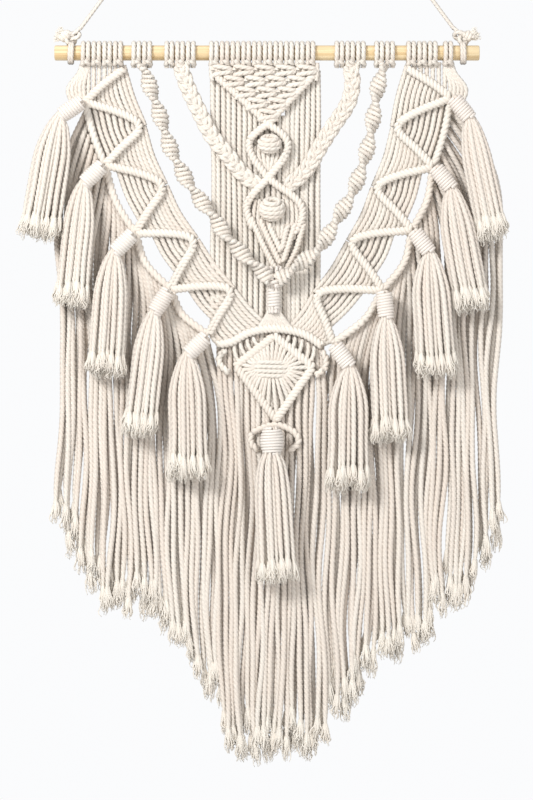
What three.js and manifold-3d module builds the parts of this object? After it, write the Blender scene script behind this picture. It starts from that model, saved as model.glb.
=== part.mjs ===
// A knotted cotton wall hanging: a wooden dowel on a hanger cord, the knotwork that hangs from it,
// eleven wrapped tassels, and a long cord fringe.
// Millimetres. +X is to the right, +Z is up, the viewer stands on the -Y side and the wall is on the +Y side.
// The origin is where the hanger cord rests on its hook.
import * as THREE from "three";
import { mergeVertices } from "three/addons/utils/BufferGeometryUtils.js";
import Module from "manifold-3d";

const wasm = await Module();
wasm.setup();

// ---- Driving dimensions ----

const GAP = 0.3; // between pieces that touch
const CORD_D = 5; // the cotton rope that everything is knotted from
const CORD_PITCH = CORD_D + 0.35; // from one strand to the next along the dowel

const DOWEL_D = 15;
const HEAD_SPAN = 372.5; // the row of knots along the dowel
const DOWEL_END = 26; // dowel beyond that row, at each end

const HANGER_D = 4.5; // the hanger's thinner cord
const HANGER_RISE = 290; // from the dowel's axis to the hook
const HANGER_INSET = 16; // from the dowel's end to the middle of the hanger's knot
const HANGER_TURNS = 2; // turns of the hanger cord round the dowel, at each end
const HOOK_R = 7; // the bend of the hanger cord over its hook
const STOPPER_KNOT = [9, 7.5, 8]; // half sizes of the knot on top of the dowel

const PANEL_DROP = 280; // the knotted panel, from the knots on the dowel to its lowest corners
const FRINGE_DROP = 419; // the longest fringe below that
const PANEL_THICK = 7.7; // knots and hitched bars
const CORDS_THICK = CORD_D; // straight cords lying side by side
const CORDS_BACK = 1.5; // the back of the straight cords, behind the dowel's axis
const BAR_W = 7.5; // a bar of double half hitches
const CHAIN_W = 6; // a chain of half hitches

const BRAID_W = 16;
const SPIRAL_D = 15;
const GATHER_D = 14; // the wrapping that gathers the cords above the arch
const GATHER_H = 21;
const FLARE_W = 11; // the cords where they come out of that wrapping
const UPPER_BERRY_CLEARANCE = 1.2; // between a berry knot and the bars beside it
const LOWER_BERRY_CLEARANCE = 7.8;
const KNOTWORK_CLEARANCE = 1; // between the square knots and the V of bars under them
const BRAID_PROUD = 3; // how far a braid stands in front of the knotwork

const TASSEL_WRAP_D = 17;
const TASSEL_WRAP_L = 28;
const TASSEL_SKIRT_L = 123;
const TASSEL_DEPTH_SHARE = 0.5; // a skirt's depth for its width, as it lies against the panel
const SKIRT_TUCK = 5; // how far the top of a skirt reaches up into the wrapping
const CENTRE_WRAP_D = 24;
const CENTRE_SKIRT_L = 127;
const CENTRE_SKIRT_W = 44;

const ROUND = 24; // sides of a turned piece
const TASSEL_ROUND = 12;
const TUBE_SIDES = 8;
const KNOT_RINGS = 8;

// ---- What follows from them ----

const HEAD_R = DOWEL_D / 2 + CORD_D; // outside of the knots on the dowel
const DOWEL_L = HEAD_SPAN + 2 * DOWEL_END;
const DOWEL_Z = -HANGER_RISE;
const PANEL_TOP = DOWEL_Z - HEAD_R - GAP;
const CORDS = [CORDS_BACK - CORDS_THICK, CORDS_BACK]; // front and back of the straight cords
const PANEL = [CORDS[0] - GAP - PANEL_THICK, CORDS[0] - GAP]; // front and back of the knotwork
const BRAID = [PANEL[0] - BRAID_PROUD, PANEL[1]];

// The knotting pattern is drawn as x from the middle and z down from the knots on the dowel, at this size.
const PATTERN_SPAN = 372.5;
const PATTERN_DROP = 280;
const PATTERN_FRINGE = 419;

// A point of the pattern, as [x, z] in the part's frame.
function at([x, z]) {
  const panel = Math.min(z, PATTERN_DROP) * (PANEL_DROP / PATTERN_DROP);
  const fringe = Math.max(z - PATTERN_DROP, 0) * (FRINGE_DROP / PATTERN_FRINGE);
  return [x * (HEAD_SPAN / PATTERN_SPAN), PANEL_TOP - panel - fringe];
}

// ---- Materials ----

const cotton = () => new THREE.MeshStandardMaterial({ color: 0xe8e0d3, roughness: 0.95, metalness: 0 });
const pine = () => new THREE.MeshStandardMaterial({ color: 0xe2c08c, roughness: 0.6, metalness: 0 });

const hanging = new THREE.Group();

function add(name, geometry, material = cotton()) {
  const mesh = new THREE.Mesh(geometry, material);
  mesh.name = name;
  hanging.add(mesh);
  return mesh;
}

// ---- Outlines, as lists of [x, z] points ----

function cross(a, b) {
  return a[0] * b[1] - a[1] * b[0];
}

function minus(a, b) {
  return [a[0] - b[0], a[1] - b[1]];
}

function unit(a) {
  return a.map((v) => v / Math.hypot(...a));
}

// The line through a and b, moved d to its left.
function moved(a, b, d) {
  const [ux, uz] = unit(minus(b, a));
  return [a, b].map(([x, z]) => [x - uz * d, z + ux * d]);
}

// Where two lines, each given by two points, meet. Nearly parallel ones meet at the end of the first.
function meet([a, b], [c, d]) {
  const along = minus(b, a);
  const other = minus(d, c);
  const turn = cross(along, other);
  if (Math.abs(turn) < 1e-6) return b;
  const share = cross(minus(c, a), other) / turn;
  return [a[0] + along[0] * share, a[1] + along[1] * share];
}

// A path moved d to its left, with its corners kept sharp.
function offset(path, d) {
  const lines = path.slice(1).map((p, i) => moved(path[i], p, d));
  const corners = lines.slice(1).map((line, i) => meet(lines[i], line));
  return [lines[0][0], ...corners, lines[lines.length - 1][1]];
}

// 1 for an outline that runs anticlockwise, and -1 for one that runs clockwise.
function turning(outline) {
  return Math.sign(outline.reduce((sum, p, i) => sum + cross(p, outline[(i + 1) % outline.length]), 0));
}

// A closed outline with every side moved d inwards.
function inset(outline, d) {
  const lines = outline.map((p, i) => moved(p, outline[(i + 1) % outline.length], turning(outline) * d));
  return lines.map((line, i) => meet(lines[(i + lines.length - 1) % lines.length], line));
}

// A strip of one width along a path.
function strip(path, width) {
  return [...offset(path, width / 2), ...offset(path, -width / 2).reverse()];
}

function vectors(outline) {
  return outline.map(([x, z]) => new THREE.Vector2(x, z));
}

// A shape needs its outline anticlockwise.
function shapeOf(outline) {
  return new THREE.Shape(vectors(turning(outline) > 0 ? outline : [...outline].reverse()));
}

function framed(shape, hole) {
  shape.holes.push(hole);
  return shape;
}

function ellipse(into, x, z, rx, rz) {
  return into.absellipse(x, z, rx, rz, 0, 2 * Math.PI, false, 0);
}

// ---- Solids ----

// A shape in the XZ plane, given thickness from front to back.
function slab(name, shape, [front, back]) {
  const geometry = new THREE.ExtrudeGeometry(shape, {
    depth: back - front,
    bevelEnabled: false,
    curveSegments: 10,
  });
  const mesh = add(name, geometry);
  mesh.rotation.x = Math.PI / 2;
  mesh.position.y = back;
  return mesh;
}

// A round cord or sinnet along a curve. A full ellipse takes two sides for each of its curve segments.
function tube(name, points, diameter, steps) {
  const section = ellipse(new THREE.Shape(), 0, 0, diameter / 2, diameter / 2);
  const extrudePath = new THREE.CatmullRomCurve3(points.map((p) => new THREE.Vector3(...p)));
  const geometry = new THREE.ExtrudeGeometry(section, { steps, extrudePath, curveSegments: TUBE_SIDES / 2 });
  return add(name, geometry);
}

// A sleeve round the dowel from x0 to x1.
function sleeveGeometry(x0, x1, inner, outer) {
  const profile = [
    [inner, x0],
    [outer, x0],
    [outer, x1],
    [inner, x1],
    [inner, x0],
  ].map(([r, x]) => new THREE.Vector2(r, x));
  return new THREE.LatheGeometry(profile, ROUND).rotateZ(-Math.PI / 2).translate(0, 0, DOWEL_Z);
}

function solidOf(geometry) {
  const bare = new THREE.BufferGeometry();
  bare.setAttribute("position", geometry.getAttribute("position"));
  bare.setIndex(geometry.index);
  const merged = mergeVertices(bare, 1e-3);
  return new wasm.Manifold(
    new wasm.Mesh({
      numProp: 3,
      vertProperties: merged.attributes.position.array,
      triVerts: new Uint32Array(merged.index.array),
    }),
  );
}

// Two overlapping geometries as one closed body.
function joined(a, b) {
  const mesh = solidOf(a).add(solidOf(b)).getMesh();
  const geometry = new THREE.BufferGeometry();
  geometry.setAttribute("position", new THREE.BufferAttribute(new Float32Array(mesh.vertProperties), 3));
  geometry.setIndex(new THREE.BufferAttribute(new Uint32Array(mesh.triVerts), 1));
  geometry.computeVertexNormals();
  return geometry;
}

// ---- The dowel and the knots on it ----

function buildDowel() {
  const dowel = add("dowel", new THREE.CylinderGeometry(DOWEL_D / 2, DOWEL_D / 2, DOWEL_L, ROUND), pine());
  dowel.rotation.z = Math.PI / 2;
  dowel.position.z = DOWEL_Z;
}

// Each group of lark's head knots: its name, its strands, and the bare dowel before it at the pattern's size.
const HEADS = [
  ["wing_left", 8, 0],
  ["spiral_left", 4, 8],
  ["braid_left", 6, 12],
  ["centre", 20, 13],
  ["braid_right", 6, 19],
  ["spiral_right", 4, 8],
  ["wing_right", 6, 11],
  ["edge_right", 2, 5],
];

// Where each group starts and ends along the dowel.
function headPlaces() {
  const strands = HEADS.reduce((sum, [, count]) => sum + count, 0);
  const bare = HEADS.reduce((sum, [, , before]) => sum + before, 0);
  const stretch = (HEAD_SPAN - strands * CORD_PITCH) / bare;
  const places = {};
  let x = -HEAD_SPAN / 2;
  for (const [name, count, before] of HEADS) {
    x += before * stretch;
    places[name] = { from: x, to: x + count * CORD_PITCH, middle: x + (count * CORD_PITCH) / 2 };
    x += count * CORD_PITCH;
  }
  return places;
}

const heads = headPlaces();

function buildHeads() {
  for (const [name, { from, to }] of Object.entries(heads)) {
    add(`larks_heads_${name}`, sleeveGeometry(from, to, DOWEL_D / 2 + GAP, HEAD_R));
  }
}

// ---- The hanger ----

const KNOT_X = DOWEL_L / 2 - HANGER_INSET;
const KNOT_Z = DOWEL_Z + DOWEL_D / 2 + STOPPER_KNOT[2];

function buildHanger() {
  const half = (HANGER_TURNS * HANGER_D) / 2;
  for (const [side, way] of [
    ["left", -1],
    ["right", 1],
  ]) {
    const x = way * KNOT_X;
    const turns = sleeveGeometry(x - half, x + half, DOWEL_D / 2 + GAP, DOWEL_D / 2 + GAP + HANGER_D);
    const knot = new THREE.SphereGeometry(1, TASSEL_ROUND, KNOT_RINGS);
    knot.scale(...STOPPER_KNOT).translate(x, 0, KNOT_Z + HANGER_D / 2);
    add(`hanger_knot_${side}`, joined(turns, knot));
  }

  // Each leg runs straight from its knot and is tangent to the bend over the hook.
  const bend = HOOK_R + HANGER_D / 2;
  const bendZ = -HOOK_R;
  const startX = KNOT_X - STOPPER_KNOT[0] - GAP;
  const startZ = KNOT_Z + STOPPER_KNOT[2] / 2 + HANGER_D;
  const reach = Math.hypot(startX, startZ - bendZ);
  const tangent = Math.atan2(startX, startZ - bendZ) - Math.acos(bend / reach);
  const over = [-1, -0.5, 0, 0.5, 1].map((share) => [
    bend * Math.sin(share * tangent),
    0,
    bendZ + bend * Math.cos(share * tangent),
  ]);
  const leg = (way, end) =>
    [0, 0.3, 0.6, 0.9].map((share) => [
      way * startX * (1 - share) + end[0] * share,
      0,
      startZ * (1 - share) + end[2] * share,
    ]);
  const route = [...leg(-1, over[0]), ...over, ...leg(1, over[4]).reverse()];
  tube("hanger_cord", route, HANGER_D, 56);
}

// ---- The middle of the panel ----

const V_LINE = [
  [-52, 15.5],
  [2, 62],
  [48, 14.5],
].map(at);

// An eye of hitched bars, with a berry knot at the top of its hollow or in its middle. A berry's size is its
// half depth and half height. Its width is what the bars beside it leave.
const EYES = {
  upper: { middle: [1.5, 88.5], half: [23, 25.5], berryAt: [2.5, 79], berry: [11, 10] },
  lower: { middle: [7, 143.5], half: [31, 27], berryAt: [5, 144], berry: [12, 12.5] },
};
const BERRY_CLEARANCES = { upper: UPPER_BERRY_CLEARANCE, lower: LOWER_BERRY_CLEARANCE };

const EYE_BAR_TOP = 3; // the bars are thinner where they cross, at the top of an eye

function buildEye(name, { middle, half, berryAt, berry }) {
  const [cx, cz] = at(middle);
  const rx = half[0] * (HEAD_SPAN / PATTERN_SPAN);
  const rz = half[1] * (PANEL_DROP / PATTERN_DROP);
  const innerRx = rx - BAR_W;
  const innerRz = rz - (BAR_W + EYE_BAR_TOP) / 2;
  const innerZ = cz + (BAR_W - EYE_BAR_TOP) / 2;
  const shape = ellipse(new THREE.Shape(), cx, cz, rx, rz);
  framed(shape, ellipse(new THREE.Path(), cx, innerZ, innerRx, innerRz));
  slab(`${name}_eye`, shape, PANEL);

  const [bx, bz] = at(berryAt);
  const room = innerRx * Math.sqrt(1 - ((bz - innerZ) / innerRz) ** 2) - Math.abs(bx - cx);
  const [halfD, halfH] = berry;
  const ball = new THREE.SphereGeometry(1, TASSEL_ROUND, KNOT_RINGS);
  ball.scale(room - BERRY_CLEARANCES[name], halfD - CORDS_THICK / 2, halfH);
  const knot = add(`${name}_berry`, ball);
  knot.position.set(bx, PANEL[0], bz);
}

const ARCH = [
  [-50, 279],
  [-35, 276],
  [-18, 267],
  [4, 263],
  [25, 265],
  [40, 270],
  [55, 280],
].map(at);

const MEDALLION = [
  [7, 268.5],
  [-32.5, 300],
  [9, 356],
  [47.5, 301],
].map(at);

const GATHER = at([7, 233.5]);

function buildMiddle() {
  const inside = offset(V_LINE, BAR_W + KNOTWORK_CLEARANCE);
  const top = [at([52, 1]), at([-55, 1])];
  slab("square_knot_panel", shapeOf([...inside, ...top]), PANEL);
  slab("v_bars", shapeOf([...V_LINE, ...offset(V_LINE, BAR_W).reverse()]), PANEL);
  for (const [name, eye] of Object.entries(EYES)) buildEye(name, eye);
  slab("chevron_bars", shapeOf([[-16, 171.5], [34, 171.5], [12, 209]].map(at)), PANEL);

  const wrap = add("gathering_wrap", new THREE.CylinderGeometry(GATHER_D / 2, GATHER_D / 2, GATHER_H, ROUND));
  wrap.rotation.x = Math.PI / 2;
  wrap.position.set(GATHER[0], PANEL[1] - GATHER_D / 2, GATHER[1]);
  const underWrap = GATHER[1] - GATHER_H / 2 - GAP;
  const flareTop = [-1, 1].map((way) => [GATHER[0] + (way * FLARE_W) / 2, underWrap]);
  slab("flared_cords", shapeOf([...flareTop, ...[[30, 259], [4, 257.5], [-20, 260]].map(at)]), PANEL);

  slab("arch_bar", shapeOf(strip(ARCH, BAR_W)), PANEL);
  const dropLeft = [[-57, 8], [-50, 8], [-9, 46], [-9, 260], [-18, 263], [-57, 266]];
  const dropRight = [[18, 46], [48, 8], [53.5, 8], [53.5, 266], [40, 264], [18, 259]];
  slab("drop_cords_left", shapeOf(dropLeft.map(at)), CORDS);
  slab("drop_cords_right", shapeOf(dropRight.map(at)), CORDS);
}

function buildMedallion() {
  const frame = shapeOf(inset(MEDALLION, GAP));
  slab("medallion_frame", framed(frame, new THREE.Path(vectors(inset(MEDALLION, BAR_W)))), PANEL);
  slab("medallion_knot", shapeOf(inset(MEDALLION, BAR_W + GAP)), PANEL);
  slab("link_cords_left", shapeOf([[-36, 283], [-10, 274], [-32, 294]].map(at)), PANEL);
  slab("link_cords_right", shapeOf([[20, 272], [45, 283.5], [44, 294]].map(at)), PANEL);
  slab("side_chain_left", shapeOf(strip([[-43, 285], [-48, 296], [-38, 309]].map(at), CHAIN_W)), PANEL);
  slab("side_chain_right", shapeOf(strip([[56, 286], [58, 301], [47, 310]].map(at), CHAIN_W)), PANEL);
  const loop = [[-10, 385], [-16.5, 373], [-12, 364], [8, 360.5], [27, 364], [31.5, 373], [23, 385]];
  slab("lower_ring", shapeOf(strip(loop.map(at), CHAIN_W)), PANEL);
}

// ---- The swags: two plaited braids and two spiral sinnets, tied at both ends ----

function buildSwags() {
  const braids = {
    braid_left: [[-78, 25], [-67, 48], [-55, 71], [-40, 89], [-29, 105]],
    braid_right: [[85, 17], [80, 38], [66, 60], [54, 80], [43, 100], [36, 108]],
  };
  for (const [name, points] of Object.entries(braids)) {
    const x = heads[name].middle;
    const path = [[x, PANEL_TOP], [x, PANEL_TOP - BRAID_W / 2], ...points.map(at)];
    slab(name, shapeOf(strip(path, BRAID_W)), BRAID);
  }

  const level = PANEL[1] - SPIRAL_D / 2; // the sinnet lies on the straight cords
  const proud = PANEL[0] - GAP - SPIRAL_D / 2; // and over the bars near its lower end
  const spirals = {
    spiral_left: [
      [-116, 24, level],
      [-106, 53, level],
      [-96, 84, level],
      [-77, 120, level],
      [-55, 150, (level + proud) / 2],
      [-32, 181, proud],
      [-2, 212, proud],
    ],
    spiral_right: [
      [109, 30, level],
      [104, 64, level],
      [97, 94, level],
      [85, 127, level],
      [66.5, 159, (level + proud) / 2],
      [50, 185, proud],
      [19, 211, proud],
    ],
  };
  for (const [name, points] of Object.entries(spirals)) {
    const start = [1, SPIRAL_D / 2].map((below) => [heads[name].middle, level, PANEL_TOP - below]);
    const path = points.map(([x, z, y]) => [at([x, z])[0], y, at([x, z])[1]]);
    tube(name, [...start, ...path], SPIRAL_D, 24);
  }
}

// ---- The wings: a zigzag of hitched bars down each side, closed at its outer edge ----

// Outer corners, where the tassels are tied, and inner corners between them, from the top down.
// The two sides are knotted by hand and aren't exact mirror images.
const WINGS = {
  left: {
    outer: [[-182, 37], [-162, 100], [-132, 168], [-97, 224], [-59, 270]].map(at),
    inner: [[-122, 60], [-100, 119], [-69, 173], [-32, 223]].map(at),
    head: [heads.wing_left.from, heads.wing_left.to],
    cordsInside: [[-58, 188], [-58, 267]].map(at),
  },
  right: {
    outer: [[184, 33], [166, 102], [145, 165], [116, 225], [66, 278]].map(at),
    inner: [[125, 61], [105, 121], [80, 175], [46, 227]].map(at),
    head: [heads.edge_right.to, heads.wing_right.from],
    cordsInside: [[54.5, 214], [54.5, 267]].map(at),
  },
};

function barsGeometry(corners, extraBar) {
  const depth = PANEL[1] - PANEL[0];
  const make = (shape) => new THREE.ExtrudeGeometry(shape, { depth, bevelEnabled: false });
  const hole = new THREE.Path(vectors(inset(corners, BAR_W)));
  const triangle = make(framed(shapeOf(inset(corners, GAP / 2)), hole));
  const geometry = extraBar ? joined(triangle, make(shapeOf(strip(extraBar, BAR_W)))) : triangle;
  return geometry.rotateX(Math.PI / 2).translate(0, PANEL[1], 0);
}

function buildWing(side, { outer, inner, head, cordsInside }) {
  const [headOut, headIn] = head;
  const way = Math.sign(headOut);
  inner.forEach((corner, i) => {
    // The first triangle also holds the bar that runs out to its corner from the knots on the dowel.
    const [tipX, tipZ] = outer[0];
    const firstBar = [
      [headIn + (way * BAR_W) / 2, PANEL_TOP - BAR_W / 2],
      [tipX - way * BAR_W, tipZ - BAR_W / 2],
    ];
    add(`hitch_bars_${side}_${i + 1}`, barsGeometry([outer[i], corner, outer[i + 1]], i ? null : firstBar));
  });

  const edge = offset(outer, (-way * GAP) / 2); // on the panel's side of the outer corners
  const outline = [
    [headOut, PANEL_TOP],
    [headIn, PANEL_TOP],
    ...inner.slice(0, 3),
    ...cordsInside,
    ...edge.reverse(),
  ];
  slab(`wing_cords_${side}`, shapeOf(outline), CORDS);
}

// ---- The fringe ----

function buildFringe() {
  const left = [[-52, 284], [-53, 645], [-67, 623], [-89, 596], [-108, 558], [-141, 553]];
  left.push([-176, 534], [-187, 493], [-211, 476], [-206, 254]);
  const right = [[59, 284], [60, 656], [76, 657], [102, 626], [128, 599], [160, 581]];
  right.push([173, 549], [196, 544], [223, 489], [233, 454], [219, 254]);
  const leftTop = offset(WINGS.left.outer, -GAP);
  const rightTop = offset(WINGS.right.outer, GAP);
  slab("fringe_left", shapeOf([...leftTop, ...left.map(at)]), CORDS);
  slab("fringe_right", shapeOf([...rightTop, ...right.map(at)]), CORDS);
  const middle = [[-51.5, 285], [-35, 279], [-18, 270], [4, 266], [25, 268], [40, 273], [58, 284]];
  middle.push([58, 699], [-51.5, 699]);
  slab("fringe_centre", shapeOf(middle.map(at)), CORDS);
}

// ---- The tassels ----

// From the top down each side: how far the wrapping and the skirt lean outwards, in degrees, and how wide
// the skirt spreads.
const TASSELS = {
  left: [
    { wrap: 57, skirt: 9.5, spread: 45 },
    { wrap: 46, skirt: 5.5, spread: 38 },
    { wrap: 45, skirt: 3.5, spread: 43 },
    { wrap: 33, skirt: 6.5, spread: 40 },
    { wrap: 46, skirt: -1, spread: 46 },
  ],
  right: [
    { wrap: 39, skirt: 11.5, spread: 32 },
    { wrap: 38, skirt: 10.5, spread: 42 },
    { wrap: 36, skirt: 4, spread: 46 },
    { wrap: 5, skirt: 2.5, spread: 44 },
    { wrap: 35, skirt: -0.5, spread: 50 },
  ],
};

const radians = THREE.MathUtils.degToRad;

// How wide a skirt is down its length, as shares of its spread and of its length.
const SKIRT_PROFILE = [
  [0.95, 1],
  [1, 0.93],
  [0.72, 0.45],
];

// A tassel hangs from corner: a wrapped neck that leans by wrapLean, then a flat skirt of cut cords.
function buildTassel(name, corner, { wrapLean, skirtLean, spread, wrapD, skirtL }) {
  const y = PANEL[0] - GAP - wrapD / 2;
  const neck = new THREE.CylinderGeometry(wrapD / 2, wrapD / 2, TASSEL_WRAP_L, TASSEL_ROUND);
  neck.rotateX(Math.PI / 2).translate(0, 0, -TASSEL_WRAP_L / 2);
  neck.rotateY(wrapLean).translate(corner[0], y, corner[1]);

  const profile = [
    [0, -skirtL],
    ...SKIRT_PROFILE.map(([across, down]) => [(spread / 2) * across, -skirtL * down]),
    [wrapD * 0.55, -skirtL * 0.1],
    [wrapD * 0.45, SKIRT_TUCK],
    [0, SKIRT_TUCK],
  ].map(([r, z]) => new THREE.Vector2(r, z));
  const skirt = new THREE.LatheGeometry(profile, TASSEL_ROUND).rotateX(Math.PI / 2);
  skirt.scale(1, TASSEL_DEPTH_SHARE, 1).rotateY(skirtLean);
  const [hemX, hemZ] = [Math.sin(wrapLean), Math.cos(wrapLean)].map((share) => -share * TASSEL_WRAP_L);
  skirt.translate(corner[0] + hemX, y, corner[1] + hemZ);
  add(name, joined(neck, skirt));
}

function buildTassels() {
  for (const [side, way] of [
    ["left", 1],
    ["right", -1],
  ]) {
    TASSELS[side].forEach(({ wrap, skirt, spread }, i) => {
      buildTassel(`tassel_${side}_${i + 1}`, WINGS[side].outer[i], {
        wrapLean: way * radians(wrap),
        skirtLean: way * radians(skirt),
        spread,
        wrapD: TASSEL_WRAP_D,
        skirtL: TASSEL_SKIRT_L,
      });
    });
  }
  buildTassel("tassel_centre", at([5, 360]), {
    wrapLean: 0,
    skirtLean: radians(-3),
    spread: CENTRE_SKIRT_W,
    wrapD: CENTRE_WRAP_D,
    skirtL: CENTRE_SKIRT_L,
  });
}

buildDowel();
buildHeads();
buildHanger();
buildMiddle();
buildMedallion();
buildSwags();
for (const [side, wing] of Object.entries(WINGS)) buildWing(side, wing);
buildFringe();
buildTassels();

export default hanging;
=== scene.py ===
# %% [markdown]
# # A knotted wall hanging, rope by rope
#
# The object is a macramé hanging: cotton rope knotted on a wooden dowel, with tassels and a long fringe. The
# packed CAD model gives every size and place. This file dresses it: each plain solid is replaced by the rope
# that a knotter would really have used there. Lengths in the helpers are in millimetres, because that is how
# rope is sold, and each mesh is turned into metres when it is made.

# %% The frame
import math

import bpy
import numpy as np
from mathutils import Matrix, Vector


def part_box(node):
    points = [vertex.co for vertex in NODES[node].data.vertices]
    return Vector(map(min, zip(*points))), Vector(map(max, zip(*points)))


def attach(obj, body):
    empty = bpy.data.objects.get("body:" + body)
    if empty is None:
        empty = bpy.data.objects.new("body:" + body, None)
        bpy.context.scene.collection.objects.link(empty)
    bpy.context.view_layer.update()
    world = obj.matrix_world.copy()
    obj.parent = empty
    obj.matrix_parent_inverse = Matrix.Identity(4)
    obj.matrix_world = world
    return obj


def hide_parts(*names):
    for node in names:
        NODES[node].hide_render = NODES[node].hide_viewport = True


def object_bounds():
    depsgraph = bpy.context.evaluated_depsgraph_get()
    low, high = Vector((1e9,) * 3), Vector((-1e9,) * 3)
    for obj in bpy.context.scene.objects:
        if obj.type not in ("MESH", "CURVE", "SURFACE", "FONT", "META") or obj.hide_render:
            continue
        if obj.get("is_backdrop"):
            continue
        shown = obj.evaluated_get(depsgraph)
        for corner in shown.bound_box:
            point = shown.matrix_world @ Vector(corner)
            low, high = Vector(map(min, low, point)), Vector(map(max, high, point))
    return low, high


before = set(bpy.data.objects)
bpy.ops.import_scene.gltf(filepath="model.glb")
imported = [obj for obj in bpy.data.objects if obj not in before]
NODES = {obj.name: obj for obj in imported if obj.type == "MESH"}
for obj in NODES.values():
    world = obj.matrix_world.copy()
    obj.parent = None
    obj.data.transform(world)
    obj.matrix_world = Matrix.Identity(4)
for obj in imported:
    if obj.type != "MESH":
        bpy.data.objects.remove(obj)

CAD_LOW, CAD_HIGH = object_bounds()
rng = np.random.default_rng(20)
print(f"{len(NODES)} solids, {(CAD_HIGH - CAD_LOW)[0]:.3f} m wide, {(CAD_HIGH - CAD_LOW)[2]:.3f} m high")

# %% [markdown]
# ## The camera
#
# The hanging is seen straight on from a few steps away, through a long lens, so that its edges stay
# parallel. The top of the hanger cord runs out of view. The picture is 533 wide and 800 high, and the
# sensor's width is the long side, so one number sets how much of the wall is seen.

# %% Camera
VIEW_HEIGHT = 0.800
VIEW_MIDDLE = (-0.0005, -0.637)
CAMERA_DISTANCE = 2.9

camera_data = bpy.data.cameras.new("camera")
camera_data.sensor_width = 36.0
camera_data.lens = 36.0 * CAMERA_DISTANCE / VIEW_HEIGHT
camera = bpy.data.objects.new("camera", camera_data)
camera.location = (VIEW_MIDDLE[0], -CAMERA_DISTANCE, VIEW_MIDDLE[1])
camera.rotation_euler = (math.pi / 2, 0, 0)
bpy.context.scene.collection.objects.link(camera)
bpy.context.scene.camera = camera
bpy.context.scene.view_settings.view_transform = "Standard"
print(f"lens {camera_data.lens:.0f} mm at {CAMERA_DISTANCE} m")

# %% [markdown]
# ## Sizes and layers
#
# Everything is knotted from one 5 mm rope of three strands. The pattern is written as x from the middle and
# z down from the knots on the dowel. Three layers lie behind one another: the straight cords, the knotwork
# on top of them, and the swags and tassels in front.

# %% Sizes
MM = 0.001
CORD = 5.0  # the rope
LAY = 15.0  # one full turn of its three strands
DOWEL_Z = -290.0
DOWEL_R = 7.5
PANEL_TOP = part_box("square_knot_panel")[1].z / MM + 1.0
CORDS_Y = -1.0  # middle of the straight cords
BACK_Y = 3.4  # middle of the row behind them
KNOTS_Y = -7.6  # middle of the knotwork
HUNG = 5.7  # the rope where nothing pulls it tight
FRONT = (0, -1, 0)  # towards the viewer


def box_of(node):
    """A solid's lowest and highest corner, in millimetres."""
    return [np.array(corner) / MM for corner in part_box(node)]


def at(x, z, y=KNOTS_Y):
    """A point of the pattern as x, y, z in the part's frame."""
    return (x, y, PANEL_TOP - z)


print(f"pattern hangs from z {PANEL_TOP:.1f} mm")

# %% [markdown]
# ## Rope
#
# A three-strand rope could be three curves wound round each other, but they would hide most of their
# surface. Here one tube is swept along a line instead. Its section has three lobes, and turns as it goes, so
# its ridges lie like the strands of a real rope. Each vertex also keeps a few facts for the material: the
# tone of its cord, how much light reaches it, how frayed it is, and a place in the yarn that doesn't turn.
# That light is painted into the colour as shade. Light is scarce between two strands, and on the flanks of a
# cord, where its neighbours press against it.

# %% Lines
SMOOTH_STEPS = 8  # points of the smooth curve for each given one


def evenly(points, step):
    """Points about step apart on a smooth curve through the given ones."""
    p = np.asarray(points, float)
    if len(p) > 2:
        q = np.vstack([2 * p[0] - p[1], p, 2 * p[-1] - p[-2]])
        t = np.linspace(0, 1, SMOOTH_STEPS + 1)[:-1, None]
        runs = []
        for a, b, c, d in zip(q[:-3], q[1:-2], q[2:-1], q[3:]):
            square = 2 * a - 5 * b + 4 * c - d
            cube = 3 * b - a - 3 * c + d
            runs.append(0.5 * (2 * b + (c - a) * t + square * t**2 + cube * t**3))
        p = np.vstack(runs + [p[-1:]])
    far = far_along(p)
    count = max(3, int(round(far[-1] / step)) + 1)
    return np.stack([np.interp(np.linspace(0, far[-1], count), far, p[:, i]) for i in range(3)], axis=1)


def far_along(points):
    """How far each point is from the first, along the line."""
    return np.concatenate([[0], np.cumsum(np.linalg.norm(np.diff(points, axis=0), axis=1))])


def length_of(line):
    return float(np.linalg.norm(np.diff(line, axis=0), axis=1).sum())


def frame_along(core):
    """The way along the line at each point, and the way across it in the plane of the panel."""
    along = np.gradient(core, axis=0)
    along /= np.linalg.norm(along, axis=1)[:, None]
    across = np.cross(along, FRONT)
    across /= np.linalg.norm(across, axis=1)[:, None]
    return along, across


arc = evenly([(10 * math.cos(a), 0, 10 * math.sin(a)) for a in np.linspace(0, math.pi, 7)], 1.0)
print(f"half a circle of 10 mm radius: {len(arc)} points, {length_of(arc):.1f} mm")

# %% [markdown]
# ## The section of a rope
#
# Cut across, a three-strand rope is a clover of three circles, with a groove between each two. Loose cotton
# swells into its own grooves. A thread that is too thin for its strands to show gets a plain round section,
# with fewer points the thinner it is.

# %% The section of a rope
SOFTNESS = 0.5  # loose cotton swells into its own grooves, and only this much of their depth is left


def lobes(side):
    """Radii round a three-strand rope, from 1 on a strand's crest down to its grooves."""
    angle = np.arange(3 * side) / (3 * side) * 2 * math.pi
    near = ((angle * 3 / (2 * math.pi)) % 1 - 0.5) * (2 * math.pi / 3)
    hard = 0.46 * np.cos(near) + np.sqrt(0.54**2 - (0.46 * np.sin(near)) ** 2)
    return angle, 1 - SOFTNESS * (1 - hard)


def ring(sides):
    """Radii round a plain thread."""
    return np.arange(sides) / sides * 2 * math.pi, np.ones(sides)


ROPE, SOFT, THREAD, WISP = lobes(5), ring(12), ring(9), ring(5)
print(f"a groove is {1 - ROPE[1].min():.2f} of the radius deep")

# %% [markdown]
# ## Sweeping a section along a line
#
# Blender's own curve bevel could sweep a section, but it keeps nothing about each vertex. Arrays do the same
# work at once for a whole rope and let facts ride along. At each point the section stands square to the
# line, with its first direction turned to the front.

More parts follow.
